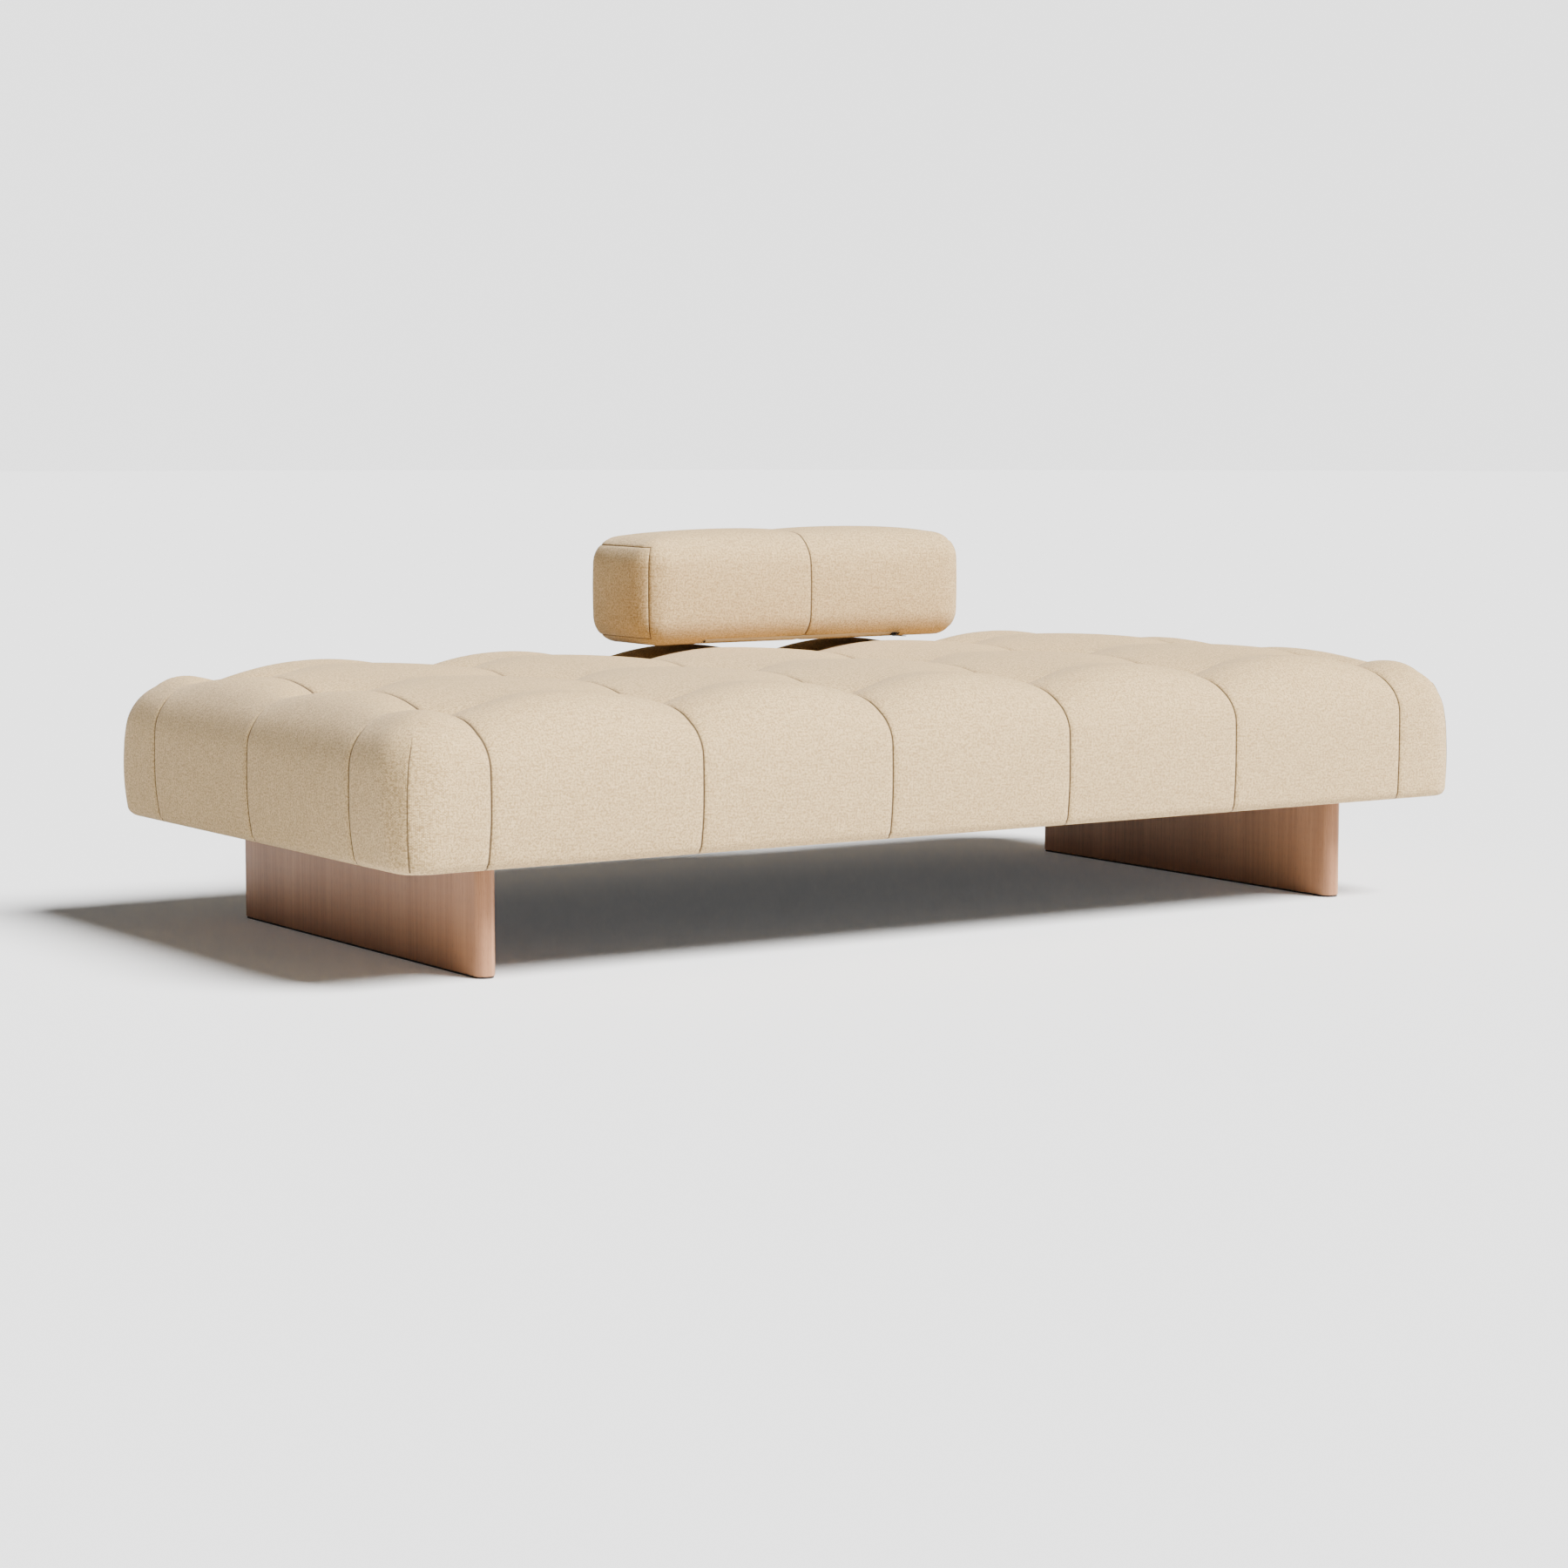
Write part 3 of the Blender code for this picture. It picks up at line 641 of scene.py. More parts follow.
class BoxGrid:
    """A box covered in quads, welded where its sides meet, before it is given its shape."""

    def __init__(self, lines: Sequence[Array], hem: Optional[float] = None,
                 hollow: Optional[Sequence[Array]] = None) -> None:
        """Covers the box.

        Args:
            lines: The grid lines along X, Y and Z, whose ends are the box's sides.
            hem: How far the underside is turned in, or None for a whole underside.
            hollow: Lines of an inner box that opens downwards, whose walls are added.

        Returns:
            Nothing.
        """
        self.lines = lines
        self.sheets: List[Sheet] = []
        quads: List[Tuple[Sheet, Array]] = []
        for axis, side in ((2, 1), (0, -1), (0, 1), (1, -1), (1, 1), (2, -1)):
            sheet = self.sheet(lines, axis, side)
            keep = None
            if axis == 2 and side < 0 and hem is not None:
                keep = lambda middle: np.any(self.halves() - np.abs(middle[:, :2]) < hem, axis=1)
            quads.append((sheet, self.cells(sheet, side, keep)))
            self.sheets.append(sheet)
        if hollow is not None:
            for axis, side in ((2, 1), (0, -1), (0, 1), (1, -1), (1, 1)):
                sheet = self.sheet(hollow, axis, side)
                quads.append((sheet, self.cells(sheet, -side, None)))
                self.sheets.append(sheet)
        flat = np.concatenate([sheet.points.reshape(-1, 3) for sheet in self.sheets])
        keys = np.round(flat * 1e6).astype(np.int64) @ np.array([1 << 42, 1 << 21, 1])
        _, first, inverse = np.unique(keys, return_index=True, return_inverse=True)
        starts = np.cumsum([0] + [sheet.points.size // 3 for sheet in self.sheets])
        faces, sources = [], []
        for index, (sheet, cells) in enumerate(quads):
            sheet.ids = inverse[starts[index]:starts[index + 1]].reshape(sheet.points.shape[:2])
            faces.append(sheet.ids.ravel()[cells])
            sources.append(np.full(len(cells), index))
        together = np.concatenate(faces)
        used, compact = np.unique(together, return_inverse=True)
        remap = np.full(len(first), -1)
        remap[used] = np.arange(len(used))
        self.sharp = flat[first][used]
        self.faces = compact.reshape(together.shape)
        self.source = np.concatenate(sources)
        for sheet in self.sheets:
            sheet.ids = remap[sheet.ids]

    def halves(self) -> Array:
        """Args: none. Returns: half the box's length and depth."""
        return np.array([self.lines[0][-1], self.lines[1][-1]])

    @staticmethod
    def sheet(lines: Sequence[Array], axis: int, side: int) -> Sheet:
        """One side's grid of points.

        Args:
            lines: The grid lines.
            axis: The axis that the side faces along.
            side: 1 or -1, for the far or near end of that axis.

        Returns:
            The sheet, with no vertex numbers yet.
        """
        first, second = (axis + 1) % 3, (axis + 2) % 3
        a, b = np.meshgrid(lines[first], lines[second], indexing="ij")
        points = np.empty(a.shape + (3,))
        points[..., first], points[..., second] = a, b
        points[..., axis] = lines[axis][-1 if side > 0 else 0]
        return Sheet(axis, side, points, np.zeros(a.shape, int))

    @staticmethod
    def cells(sheet: Sheet, turn: int, keep: Optional[Callable[[Array], Array]]) -> Array:
        """A sheet's quads, as places in its flattened grid.

        Args:
            sheet: The sheet.
            turn: 1 if the quads face along the axis, and -1 against it.
            keep: Says which quads to keep, from their middles.

        Returns:
            The quads.
        """
        quads = grid_quads(sheet.points.shape[:2])
        if keep is not None:
            quads = quads[keep(sheet.points.reshape(-1, 3)[quads].mean(1))]
        return quads if turn > 0 else quads[:, ::-1]

    def cloth_uv(self, radius: float) -> Array:
        """How the cloth lies on the box: its own coordinates at each face corner, in metres.

        Args:
            radius: The radius of the box's long edges, which the cloth runs round.

        Returns:
            A pair for every face corner.
        """
        half_x, half_y = self.halves()
        high = self.lines[2][-1]
        points = self.sharp[self.faces]
        kind = np.array([sheet.axis * 2 + (sheet.side > 0) for sheet in self.sheets])[self.source]

        def run(place: Array, half: float) -> Array:
            """Args: place and half, along one axis. Returns: the run of cloth from the middle."""
            past = np.maximum(np.abs(place) - (half - radius), 0.0)
            return np.sign(place) * (np.abs(place) - past + radius * np.arctan(past / radius))

        rise = np.clip(points[..., 2] - (high - radius), 0.0, radius)
        down = radius * (math.pi / 2 - np.arctan(rise / radius))
        down = down + np.maximum(high - radius - points[..., 2], 0.0)
        u, v = run(points[..., 0], half_x), run(points[..., 1], half_y)
        on_x, on_y = (kind // 2 == 0)[:, None], (kind // 2 == 1)[:, None]
        u = np.where(on_x, np.sign(points[..., 0]) * (half_x - radius + down), u)
        v = np.where(on_y, np.sign(points[..., 1]) * (half_y - radius + down), v)
        return np.stack([u, v], -1).reshape(-1, 2)


def spline_weights(fine: Array, coarse: Array) -> Array:
    """Cubic B-spline weights that carry values on coarse lines to fine ones.

    Args:
        fine: The fine lines' places.
        coarse: The coarse lines' places.

    Returns:
        A matrix with a row for each fine line and a column for each coarse one.
    """
    count = len(coarse)
    place = np.interp(fine, coarse, np.arange(count))
    low = np.clip(np.floor(place).astype(int), 0, count - 2)
    t = place - low
    rows = np.arange(len(fine))
    padded = np.zeros((len(fine), count + 2))
    padded[rows, low] = (1 - t) ** 3 / 6
    padded[rows, low + 1] = (3 * t ** 3 - 6 * t ** 2 + 4) / 6
    padded[rows, low + 2] = (-3 * t ** 3 + 3 * t ** 2 + 3 * t + 1) / 6
    padded[rows, low + 3] = t ** 3 / 6
    weights = padded[:, 1:-1].copy()
    # A line past each end goes on straight from the last two.
    weights[:, 0] += 2 * padded[:, 0]
    weights[:, 1] -= padded[:, 0]
    weights[:, -1] += 2 * padded[:, -1]
    weights[:, -2] -= padded[:, -1]
    return weights


def carry(values: Array, coarse: BoxGrid, fine: BoxGrid) -> Array:
    """Carries vectors at a coarse box grid's vertices onto a fine one.

    Args:
        values: One vector a coarse vertex.
        coarse: The coarse grid.
        fine: The fine grid, over the same box.

    Returns:
        One vector a fine vertex.
    """
    result = np.zeros((len(fine.sharp), 3))
    for near, far in zip(coarse.sheets, fine.sheets):
        if near.ids.min() < 0:
            continue
        first, second = (near.axis + 1) % 3, (near.axis + 2) % 3
        left = spline_weights(fine.lines[first], coarse.lines[first])
        right = spline_weights(fine.lines[second], coarse.lines[second])
        result[far.ids] = np.einsum("ia,abk,jb->ijk", left, values[near.ids], right)
    return result


@dataclass(frozen=True)
class Inflation:
    """How a sewn cover is blown up against its seams."""

    pressure: float = 4.0
    frames: int = 20
    most: float = 0.008
    sideways: float = 0.5
    mass: float = 0.35
    tension: float = 18.0
    bending: float = 0.6
    quality: int = 6
    steadied: float = 0.995

    def run(self, points: Array, faces: Array, held: Array) -> Array:
        """Simulates the cover and measures how far it moves.

        Args:
            points: The cover's vertices at the start.
            faces: Its quads.
            held: How firmly each vertex is held by a seam, from 0 to 1.

        Returns:
            How far each vertex moves, with the furthest capped.
        """
        work = new_object("inflating", points, faces, None)
        group = work.vertex_groups.new(name="held")
        for share in np.unique(held[held > 0]):
            group.add(np.nonzero(held == share)[0].tolist(), float(share), "REPLACE")
        cloth = work.modifiers.new("Cloth", "CLOTH")
        settings = cloth.settings
        settings.quality = self.quality
        settings.mass = self.mass
        settings.tension_stiffness = self.tension
        settings.compression_stiffness = self.tension
        settings.bending_stiffness = self.bending
        settings.vertex_group_mass = group.name
        settings.use_pressure = True
        settings.uniform_pressure_force = self.pressure
        settings.effector_weights.gravity = 0.0
        cloth.point_cache.frame_start = 1
        cloth.point_cache.frame_end = self.frames
        scene = bpy.context.scene
        for step in range(1, self.frames + 1):
            scene.frame_set(step)
        graph = bpy.context.evaluated_depsgraph_get()
        shown = work.evaluated_get(graph).data
        after = np.empty(len(points) * 3, np.float32)
        shown.vertices.foreach_get("co", after)
        mesh = work.data
        bpy.data.objects.remove(work)
        bpy.data.meshes.remove(mesh)
        scene.frame_set(1)
        moved = after.reshape(-1, 3) - points
        length = np.linalg.norm(moved, axis=1, keepdims=True)
        LOG.info("inflated: furthest %.4f, middle %.4f", length.max(), np.median(length))
        usual = max(float(np.quantile(length, self.steadied)), 1e-9)
        moved = moved * np.minimum(1.0, self.most / usual)
        length = np.linalg.norm(moved, axis=1, keepdims=True)
        moved = moved * np.minimum(1.0, self.most / np.maximum(length, 1e-9))
        return moved * np.array([self.sideways, self.sideways, 1.0])


def fullness(place: Array, lines: Array, half: float, power: float) -> Array:
    """How full a puff is: 0 on a seam, rising to 1 midway to the next or at the far edge.

    Args:
        place: Places across the puffs.
        lines: The seams' places.
        half: The distance from the middle to the edge.
        power: How square the puff is.

    Returns:
        The fullness at each place.
    """
    index = np.clip(np.searchsorted(lines, place, side="right") - 1, 0, len(lines) - 2)
    share = np.clip((place - lines[index]) / (lines[index + 1] - lines[index]), 0, 1)
    outer = np.clip((np.abs(place) - lines[-1]) / (half - lines[-1]), 0, 1)
    within = 1 - np.abs(2 * share - 1) ** power
    return np.where(np.abs(place) >= lines[-1], 1 - (1 - outer) ** power, within)


def onto_round(along: Array, up: Array) -> Tuple[Array, Array]:
    """Carries points of a square corner onto the quarter disc that fits in it.

    Args:
        along: Distances one way from the disc's centre.
        up: Distances the other way.

    Returns:
        The new distances.
    """
    corner = (along > 0) & (up > 0)
    reach = np.hypot(along, up)
    share = np.where(corner, np.maximum(along, up) / np.where(reach == 0, 1, reach), 1.0)
    return along * share, up * share


@dataclass(frozen=True)
class Rounding:
    """A box with rounded edges, whose plan corners open out upwards."""

    half_x: float
    half_y: float
    low: float
    high: float
    foot: float
    top: float
    plan: Tuple[float, float, float]

    def shape(self, sharp: Array) -> Tuple[Array, Array]:
        """Carries the sharp box's points onto the rounded one.

        Args:
            sharp: The points.

        Returns:
            The new points, and how far each faces along X and Y in plan, from 0 to 1.
        """
        x, y, z = np.abs(sharp[:, 0]), np.abs(sharp[:, 1]), sharp[:, 2]
        rise = (z - self.low) / (self.high - self.low)
        plan = np.interp(rise, [0.0, 0.5, 1.0], self.plan)
        over_x, over_y = x - (self.half_x - plan), y - (self.half_y - plan)
        reach = np.maximum(over_x, over_y)
        inset = plan - reach
        along, up = onto_round(self.top - inset, z - (self.high - self.top))
        new_inset, new_z = self.top - along, self.high - self.top + up
        along, up = onto_round(self.foot - inset, self.low + self.foot - z)
        lower = rise < 0.5
        new_inset = np.where(lower, self.foot - along, new_inset)
        new_z = np.where(lower, self.low + self.foot - up, new_z)
        gone = plan - new_inset
        both = (over_x > 0) & (over_y > 0)
        length = np.where(both, np.hypot(over_x, over_y), 1.0)
        first = over_x >= over_y
        new_x = np.where(both, self.half_x - plan + gone * over_x / length,
                         np.where(first, x + gone - reach, x))
        new_y = np.where(both, self.half_y - plan + gone * over_y / length,
                         np.where(first, y, y + gone - reach))
        facing = np.stack([np.where(both, over_x / length, first * 1.0),
                           np.where(both, over_y / length, ~first * 1.0)], 1)
        side = (x > self.half_x - 1e-6) | (y > self.half_y - 1e-6)
        points = np.stack([new_x * np.sign(sharp[:, 0]), new_y * np.sign(sharp[:, 1]), new_z], 1)
        return points, facing * side[:, None]


@dataclass(frozen=True)
class Quilt:
    """The quilted platform's form. The grid of tufts, and how far the puffs stand off it."""

    half_x: float = 0.9845
    half_y: float = 0.484
    low: float = 0.168
    crown: float = 0.4095
    plan: Tuple[float, float, float] = (0.045, 0.058, 0.095)
    top: float = 0.096
    foot: float = 0.014
    cross: Tuple[float, ...] = (-0.8535, -0.5025, -0.1675, 0.1675, 0.5025, 0.8535)
    rows: Tuple[float, ...] = (-0.3305, 0.0, 0.3305)
    depth: float = 0.0455
    arch: float = 0.0355
    row_dip: float = 0.006
    end_dip: float = 0.004
    end_drop: float = 0.009
    outer_lift: float = 0.015
    power: float = 2.0
    peak: float = 0.09
    end_bulge: Tuple[float, float] = (0.0095, 0.000)
    face_bulge: Tuple[float, float] = (0.0125, 0.002)
    corner_ridge: float = 0.006
    crease: float = 0.011
    crease_width: float = 0.016
    hem: float = 0.045

    def form(self, sharp: Array, inset: float = 0.0) -> Array:
        """The quilted outside at points of its sharp box.

        Args:
            sharp: Points on the sharp box, drawn in by the same inset.
            inset: How far inside the cover the surface lies.

        Returns:
            The points on the quilted form.
        """
        half_x, half_y = self.half_x - inset, self.half_y - inset
        high = self.crown - inset
        low = float(sharp[:, 2].min())
        plan = tuple(max(radius - inset, 0.02) for radius in self.plan)
        box = Rounding(half_x, half_y, low, high, self.foot, self.top, plan)
        points, facing = box.shape(sharp)
        cross, rows = np.array(self.cross), np.array(self.rows)
        rise, tall = sharp[:, 2] - low, high - low
        swell = np.where(rise < self.peak, 1 - ((rise - self.peak) / self.peak) ** 2,
                         1 - ((rise - self.peak) / (tall - self.peak)) ** 2).clip(0, 1)
        share = sharp[:, 0] / half_x * 0.5 + 0.5
        ends = self.end_bulge[0] + (self.end_bulge[1] - self.end_bulge[0]) * share
        faces = self.face_bulge[0] + (self.face_bulge[1] - self.face_bulge[0]) * share
        corner = np.maximum(half_x - np.abs(sharp[:, 0]), half_y - np.abs(sharp[:, 1]))
        ridge = self.corner_ridge * np.exp(-corner / 0.014)
        points[:, 0] += np.sign(sharp[:, 0]) * facing[:, 0] * swell * (ends + ridge)
        points[:, 1] += np.sign(sharp[:, 1]) * facing[:, 1] * swell * (faces + ridge)
        upper = np.clip((points[:, 2] - (high - self.top)) / self.top, 0, 1)
        x, y = points[:, 0], points[:, 1]
        across = fullness(x, cross, half_x, self.power)
        along = fullness(y, rows, half_y, self.power)
        inside = np.where(np.abs(y) <= rows[-1], along, 0.0)
        beyond = np.clip((np.abs(y) - rows[-1]) / 0.05, 0, 1)
        outer = 1 - (1 - beyond) ** 2
        soft = np.sin(along * math.pi / 2) ** 2
        dip = np.where(np.abs(x) <= cross[-1], self.row_dip, self.end_dip)
        to_row = np.abs(y[:, None] - rows).min(1)
        fold = self.crease * np.exp(-to_row / self.crease_width) * across * (1 - across) * 4
        lift = self.arch * inside + self.outer_lift * outer
        drop = (1 - across) * (self.depth - lift) + across * dip * (1 - soft)
        drop = drop + fold * (1 - across)
        drop = drop + np.where(np.abs(x) > cross[-1], self.end_drop * across, 0.0)
        points[:, 2] -= drop * upper
        return points

    def seams(self, sharp: Array) -> Tuple[Array, Array]:
        """How near each point is to a sewn seam.

        Args:
            sharp: Points on the sharp box.

        Returns:
            The distance to the nearest seam, and how much that seam shows, from 0 to 1.
        """
        x, y, z = sharp.T
        to_cross = np.abs(x[:, None] - np.array(self.cross)).min(1)
        to_row = np.abs(y[:, None] - np.array(self.rows)).min(1)
        on_end = np.abs(x) > self.half_x - 1e-6
        on_face = np.abs(y) > self.half_y - 1e-6
        top = z > self.crown - 1e-6
        past = np.abs(x) - (self.half_x - 0.5 * self.top)
        fade_row = np.where(on_end, np.clip((self.crown - z) / 0.05, 0, 1),
                            np.where(top, 0.0, 1.0))
        fade_row = np.where(top & (past > 0), 0.0, fade_row)
        to_corner = 0.6 * np.where(on_end, self.half_y - np.abs(y), np.where(
            on_face, self.half_x - np.abs(x), 1.0))
        fade_corner = np.clip((self.crown - 0.035 - z) / 0.03, 0, 1)
        options = np.stack([np.where(on_end, 1.0, to_cross),
                            np.where(fade_row > 0, to_row, 1.0),
                            np.where(fade_corner > 0, to_corner, 1.0)])
        shown = np.stack([np.ones_like(x), fade_row, fade_corner])
        nearest = options.argmin(0)
        index = np.arange(len(x))
        return options[nearest, index], shown[nearest, index]


# ---------------------------------------------------------------------------------------------
# Sub-assemblies
# ---------------------------------------------------------------------------------------------


@dataclass
class Upholstery:
    """The quilted cover, the wadding and foam inside it, and the dust cover under it."""

    finishes: Finishes
    quilt: Quilt = Quilt()
    fine: Tuple[float, ...] = (0.0007, 0.0016, 0.0028, 0.0045, 0.007, 0.011, 0.017)
    step: float = 0.012
    coarse_step: float = 0.0145
    groove: float = 0.0036
    groove_width: float = 0.0030
    dimple: float = 0.007
    dimple_width: float = 0.020
    tuft_hold: float = 0.048
    wall: float = 0.0014
    wadding_inset: float = 0.0145
    wadding_gap: float = 0.0004
    wadding_step: float = 0.024
    block_step: float = 0.02
    foam_plan: Tuple[float, float, float] = (0.012, 0.012, 0.012)
    foam_foot: float = 0.006
    foam_top: float = 0.008
    dust_sag: float = 0.0016
    dust_bay: float = 0.42
    leg_line: float = 0.802
    dust_wall: float = 0.0006

    def grid(self, step: float, fine: Sequence[float]) -> BoxGrid:
        """A box grid for the platform's outside, with its hem turned in.

        Args:
            step: The widest space between lines.
            fine: Distances of the closer lines beside each seam.

        Returns:
            The grid.
        """
        quilt = self.quilt
        x = grid_lines(quilt.cross, quilt.half_x, step, fine)
        y = grid_lines(quilt.rows, quilt.half_y, step, fine)
        edges = np.array([quilt.half_x - quilt.hem, quilt.half_y - quilt.hem])
        x = np.unique(np.round(np.concatenate([x, [-edges[0], edges[0]]]), 6))
        y = np.unique(np.round(np.concatenate([y, [-edges[1], edges[1]]]), 6))
        foot = quilt.low + quilt.foot * np.array([0.0, 0.25, 0.5, 0.75, 1.0])
        tall = quilt.crown - quilt.low
        z = np.unique(np.round(np.concatenate([
            foot if fine else foot[::4],
            np.linspace(quilt.low + quilt.foot, quilt.crown, math.ceil(tall / step) + 1)]), 6))
        return BoxGrid((x, y, z), quilt.hem)

    def inflate(self, fine: BoxGrid) -> Array:
        """Blows the cover up between its seams.

        Args:
            fine: The grid that the movement is carried onto.

        Returns:
            How far each of the fine grid's vertices moves.
        """
        quilt = self.quilt
        coarse = self.grid(self.coarse_step, ())
        gap, show = quilt.seams(coarse.sharp)
        held = ((gap < 1e-6) & (show > 0.3)).astype(float)
        held[coarse.sharp[:, 2] < quilt.low + quilt.foot + 1e-6] = 1.0
        to_row = np.abs(coarse.sharp[:, None, 1] - np.array(quilt.rows)).min(1)
        to_cross = np.abs(coarse.sharp[:, None, 0] - np.array(quilt.cross)).min(1)
        held[np.hypot(to_row, to_cross) < self.tuft_hold] = 1.0
        start = quilt.form(coarse.sharp)
        moved = Inflation().run(start, coarse.faces, held)
        return carry(moved, coarse, fine)

    def cover(self) -> Any:
        """Args: none. Returns: the quilted cover."""
        quilt = self.quilt
        grid = self.grid(self.step, self.fine)
        points = quilt.form(grid.sharp)
        points = points + self.inflate(grid)
        gap, show = quilt.seams(grid.sharp)
        normals = vertex_normals(points, grid.faces)
        to_tuft = np.hypot(np.abs(grid.sharp[:, :1] - np.array(quilt.cross)).min(1),
                           np.abs(grid.sharp[:, 1:2] - np.array(quilt.rows)).min(1))
        on_top = grid.sharp[:, 2] > quilt.crown - 1e-6
        sunk = self.groove * show * np.exp(-gap / self.groove_width)
        sunk = sunk + on_top * self.dimple * np.exp(-(to_tuft / self.dimple_width) ** 2)
        sunk = np.where(grid.sharp[:, 2] < quilt.low + 1e-6, 0.0, sunk)
        points = points - normals * sunk[:, None]
        made = new_object("quilted_cover_sewn", points, grid.faces, self.finishes.cream,
                          grid.cloth_uv(quilt.top))
        keep_number(made, "seam_gap", gap)
        keep_number(made, "seam_show", show)
        add_wall(made, self.wall, -1.0)
        return made

    def wadding(self) -> Any:
        """Args: none. Returns: the fibre wadding, hollow for the frame and the foam."""
        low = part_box("fibre_wadding")[0]
        foam_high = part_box("foam_core")[1]
        gap = self.wadding_gap
        half_x, half_y = foam_high.x + gap, foam_high.y + gap
        quilt, step = self.quilt, self.wadding_step
        inner = (grid_lines((), half_x, step), grid_lines((), half_y, step),
                 np.linspace(low.z, foam_high.z + gap, 8))
        x = np.concatenate([[-(quilt.half_x - self.wadding_inset)], inner[0],
                            [quilt.half_x - self.wadding_inset]])
        y = np.concatenate([[-(quilt.half_y - self.wadding_inset)], inner[1],
                            [quilt.half_y - self.wadding_inset]])
        z = np.linspace(low.z, quilt.crown - self.wadding_inset, 16)
        grid = BoxGrid((x, y, z), quilt.half_x - self.wadding_inset - half_x, inner)
        outer = np.zeros(len(grid.sharp), bool)
        for sheet in grid.sheets[:6]:
            outer[sheet.ids[sheet.ids >= 0]] = True
        points = grid.sharp.copy()
        points[outer] = quilt.form(grid.sharp[outer], self.wadding_inset)
        rim = np.zeros(len(grid.sharp), bool)
        for sheet in grid.sheets[6:]:
            rim[sheet.ids] = True
        points[rim] = grid.sharp[rim]
        made = new_object("wadding_layer", points, grid.faces, self.finishes.fibre)
        return made

    def foam(self) -> Any:
        """Args: none. Returns: the foam block, with softened edges."""
        low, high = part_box("foam_core")
        near = (0.0015, 0.004, self.foam_top)
        rim = np.array([0.0, 0.002, 0.005])
        body = np.linspace(low.z + self.foam_top, high.z - self.foam_top, 5)
        grid = BoxGrid([grid_lines((), high.x, self.block_step, near),
                        grid_lines((), high.y, self.block_step, near),
                        np.concatenate([low.z + rim, body, high.z - rim[::-1]])])
        form = Rounding(high.x, high.y, low.z, high.z, self.foam_foot, self.foam_top,
                        self.foam_plan)
        points, _ = form.shape(grid.sharp)
        made = new_object("foam_block", points, grid.faces, self.finishes.foam)
        return made

    def dust_cover(self) -> Any:
        """Args: none. Returns: the thin cloth under the frame, sagging a little between rails."""
        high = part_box("dust_cover")[1]
        x, y = (grid_lines((), half, self.block_step) for half in (high.x, high.y))
        a, b = np.meshgrid(x, y, indexing="ij")
        bays = np.abs(np.sin(a * math.pi / self.dust_bay))
        sag = self.dust_sag * bays * np.clip(1 - (b / high.y) ** 2, 0, 1)
        near_leg = np.abs(np.abs(a) - self.leg_line)
        sag = sag * np.clip((near_leg - 0.03) / 0.05, 0, 1)
        points = np.stack([a, b, np.full(a.shape, high.z) - sag], -1).reshape(-1, 3)
        number = np.arange(a.size).reshape(a.shape)
        faces = np.stack([number[:-1, :-1], number[:-1, 1:], number[1:, 1:], number[1:, :-1]], -1)
        made = new_object("dust_cloth", points, faces.reshape(-1, 4), self.finishes.black_cloth)
        add_wall(made, self.dust_wall, 1.0)
        return made

    def build(self) -> None:
        """Args: none. Returns: nothing; builds the upholstery and lets it ride on the frame."""
        for made, node, slot in ((self.cover(), "quilted_cover", "cream_weave"),
                                 (self.wadding(), "fibre_wadding", "white_fibre"),
                                 (self.foam(), "foam_core", "foam"),
                                 (self.dust_cover(), "dust_cover", "black_cloth")):
            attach(made, "daybed")
            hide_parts(node)
            LOG.info("built %s", made.name)


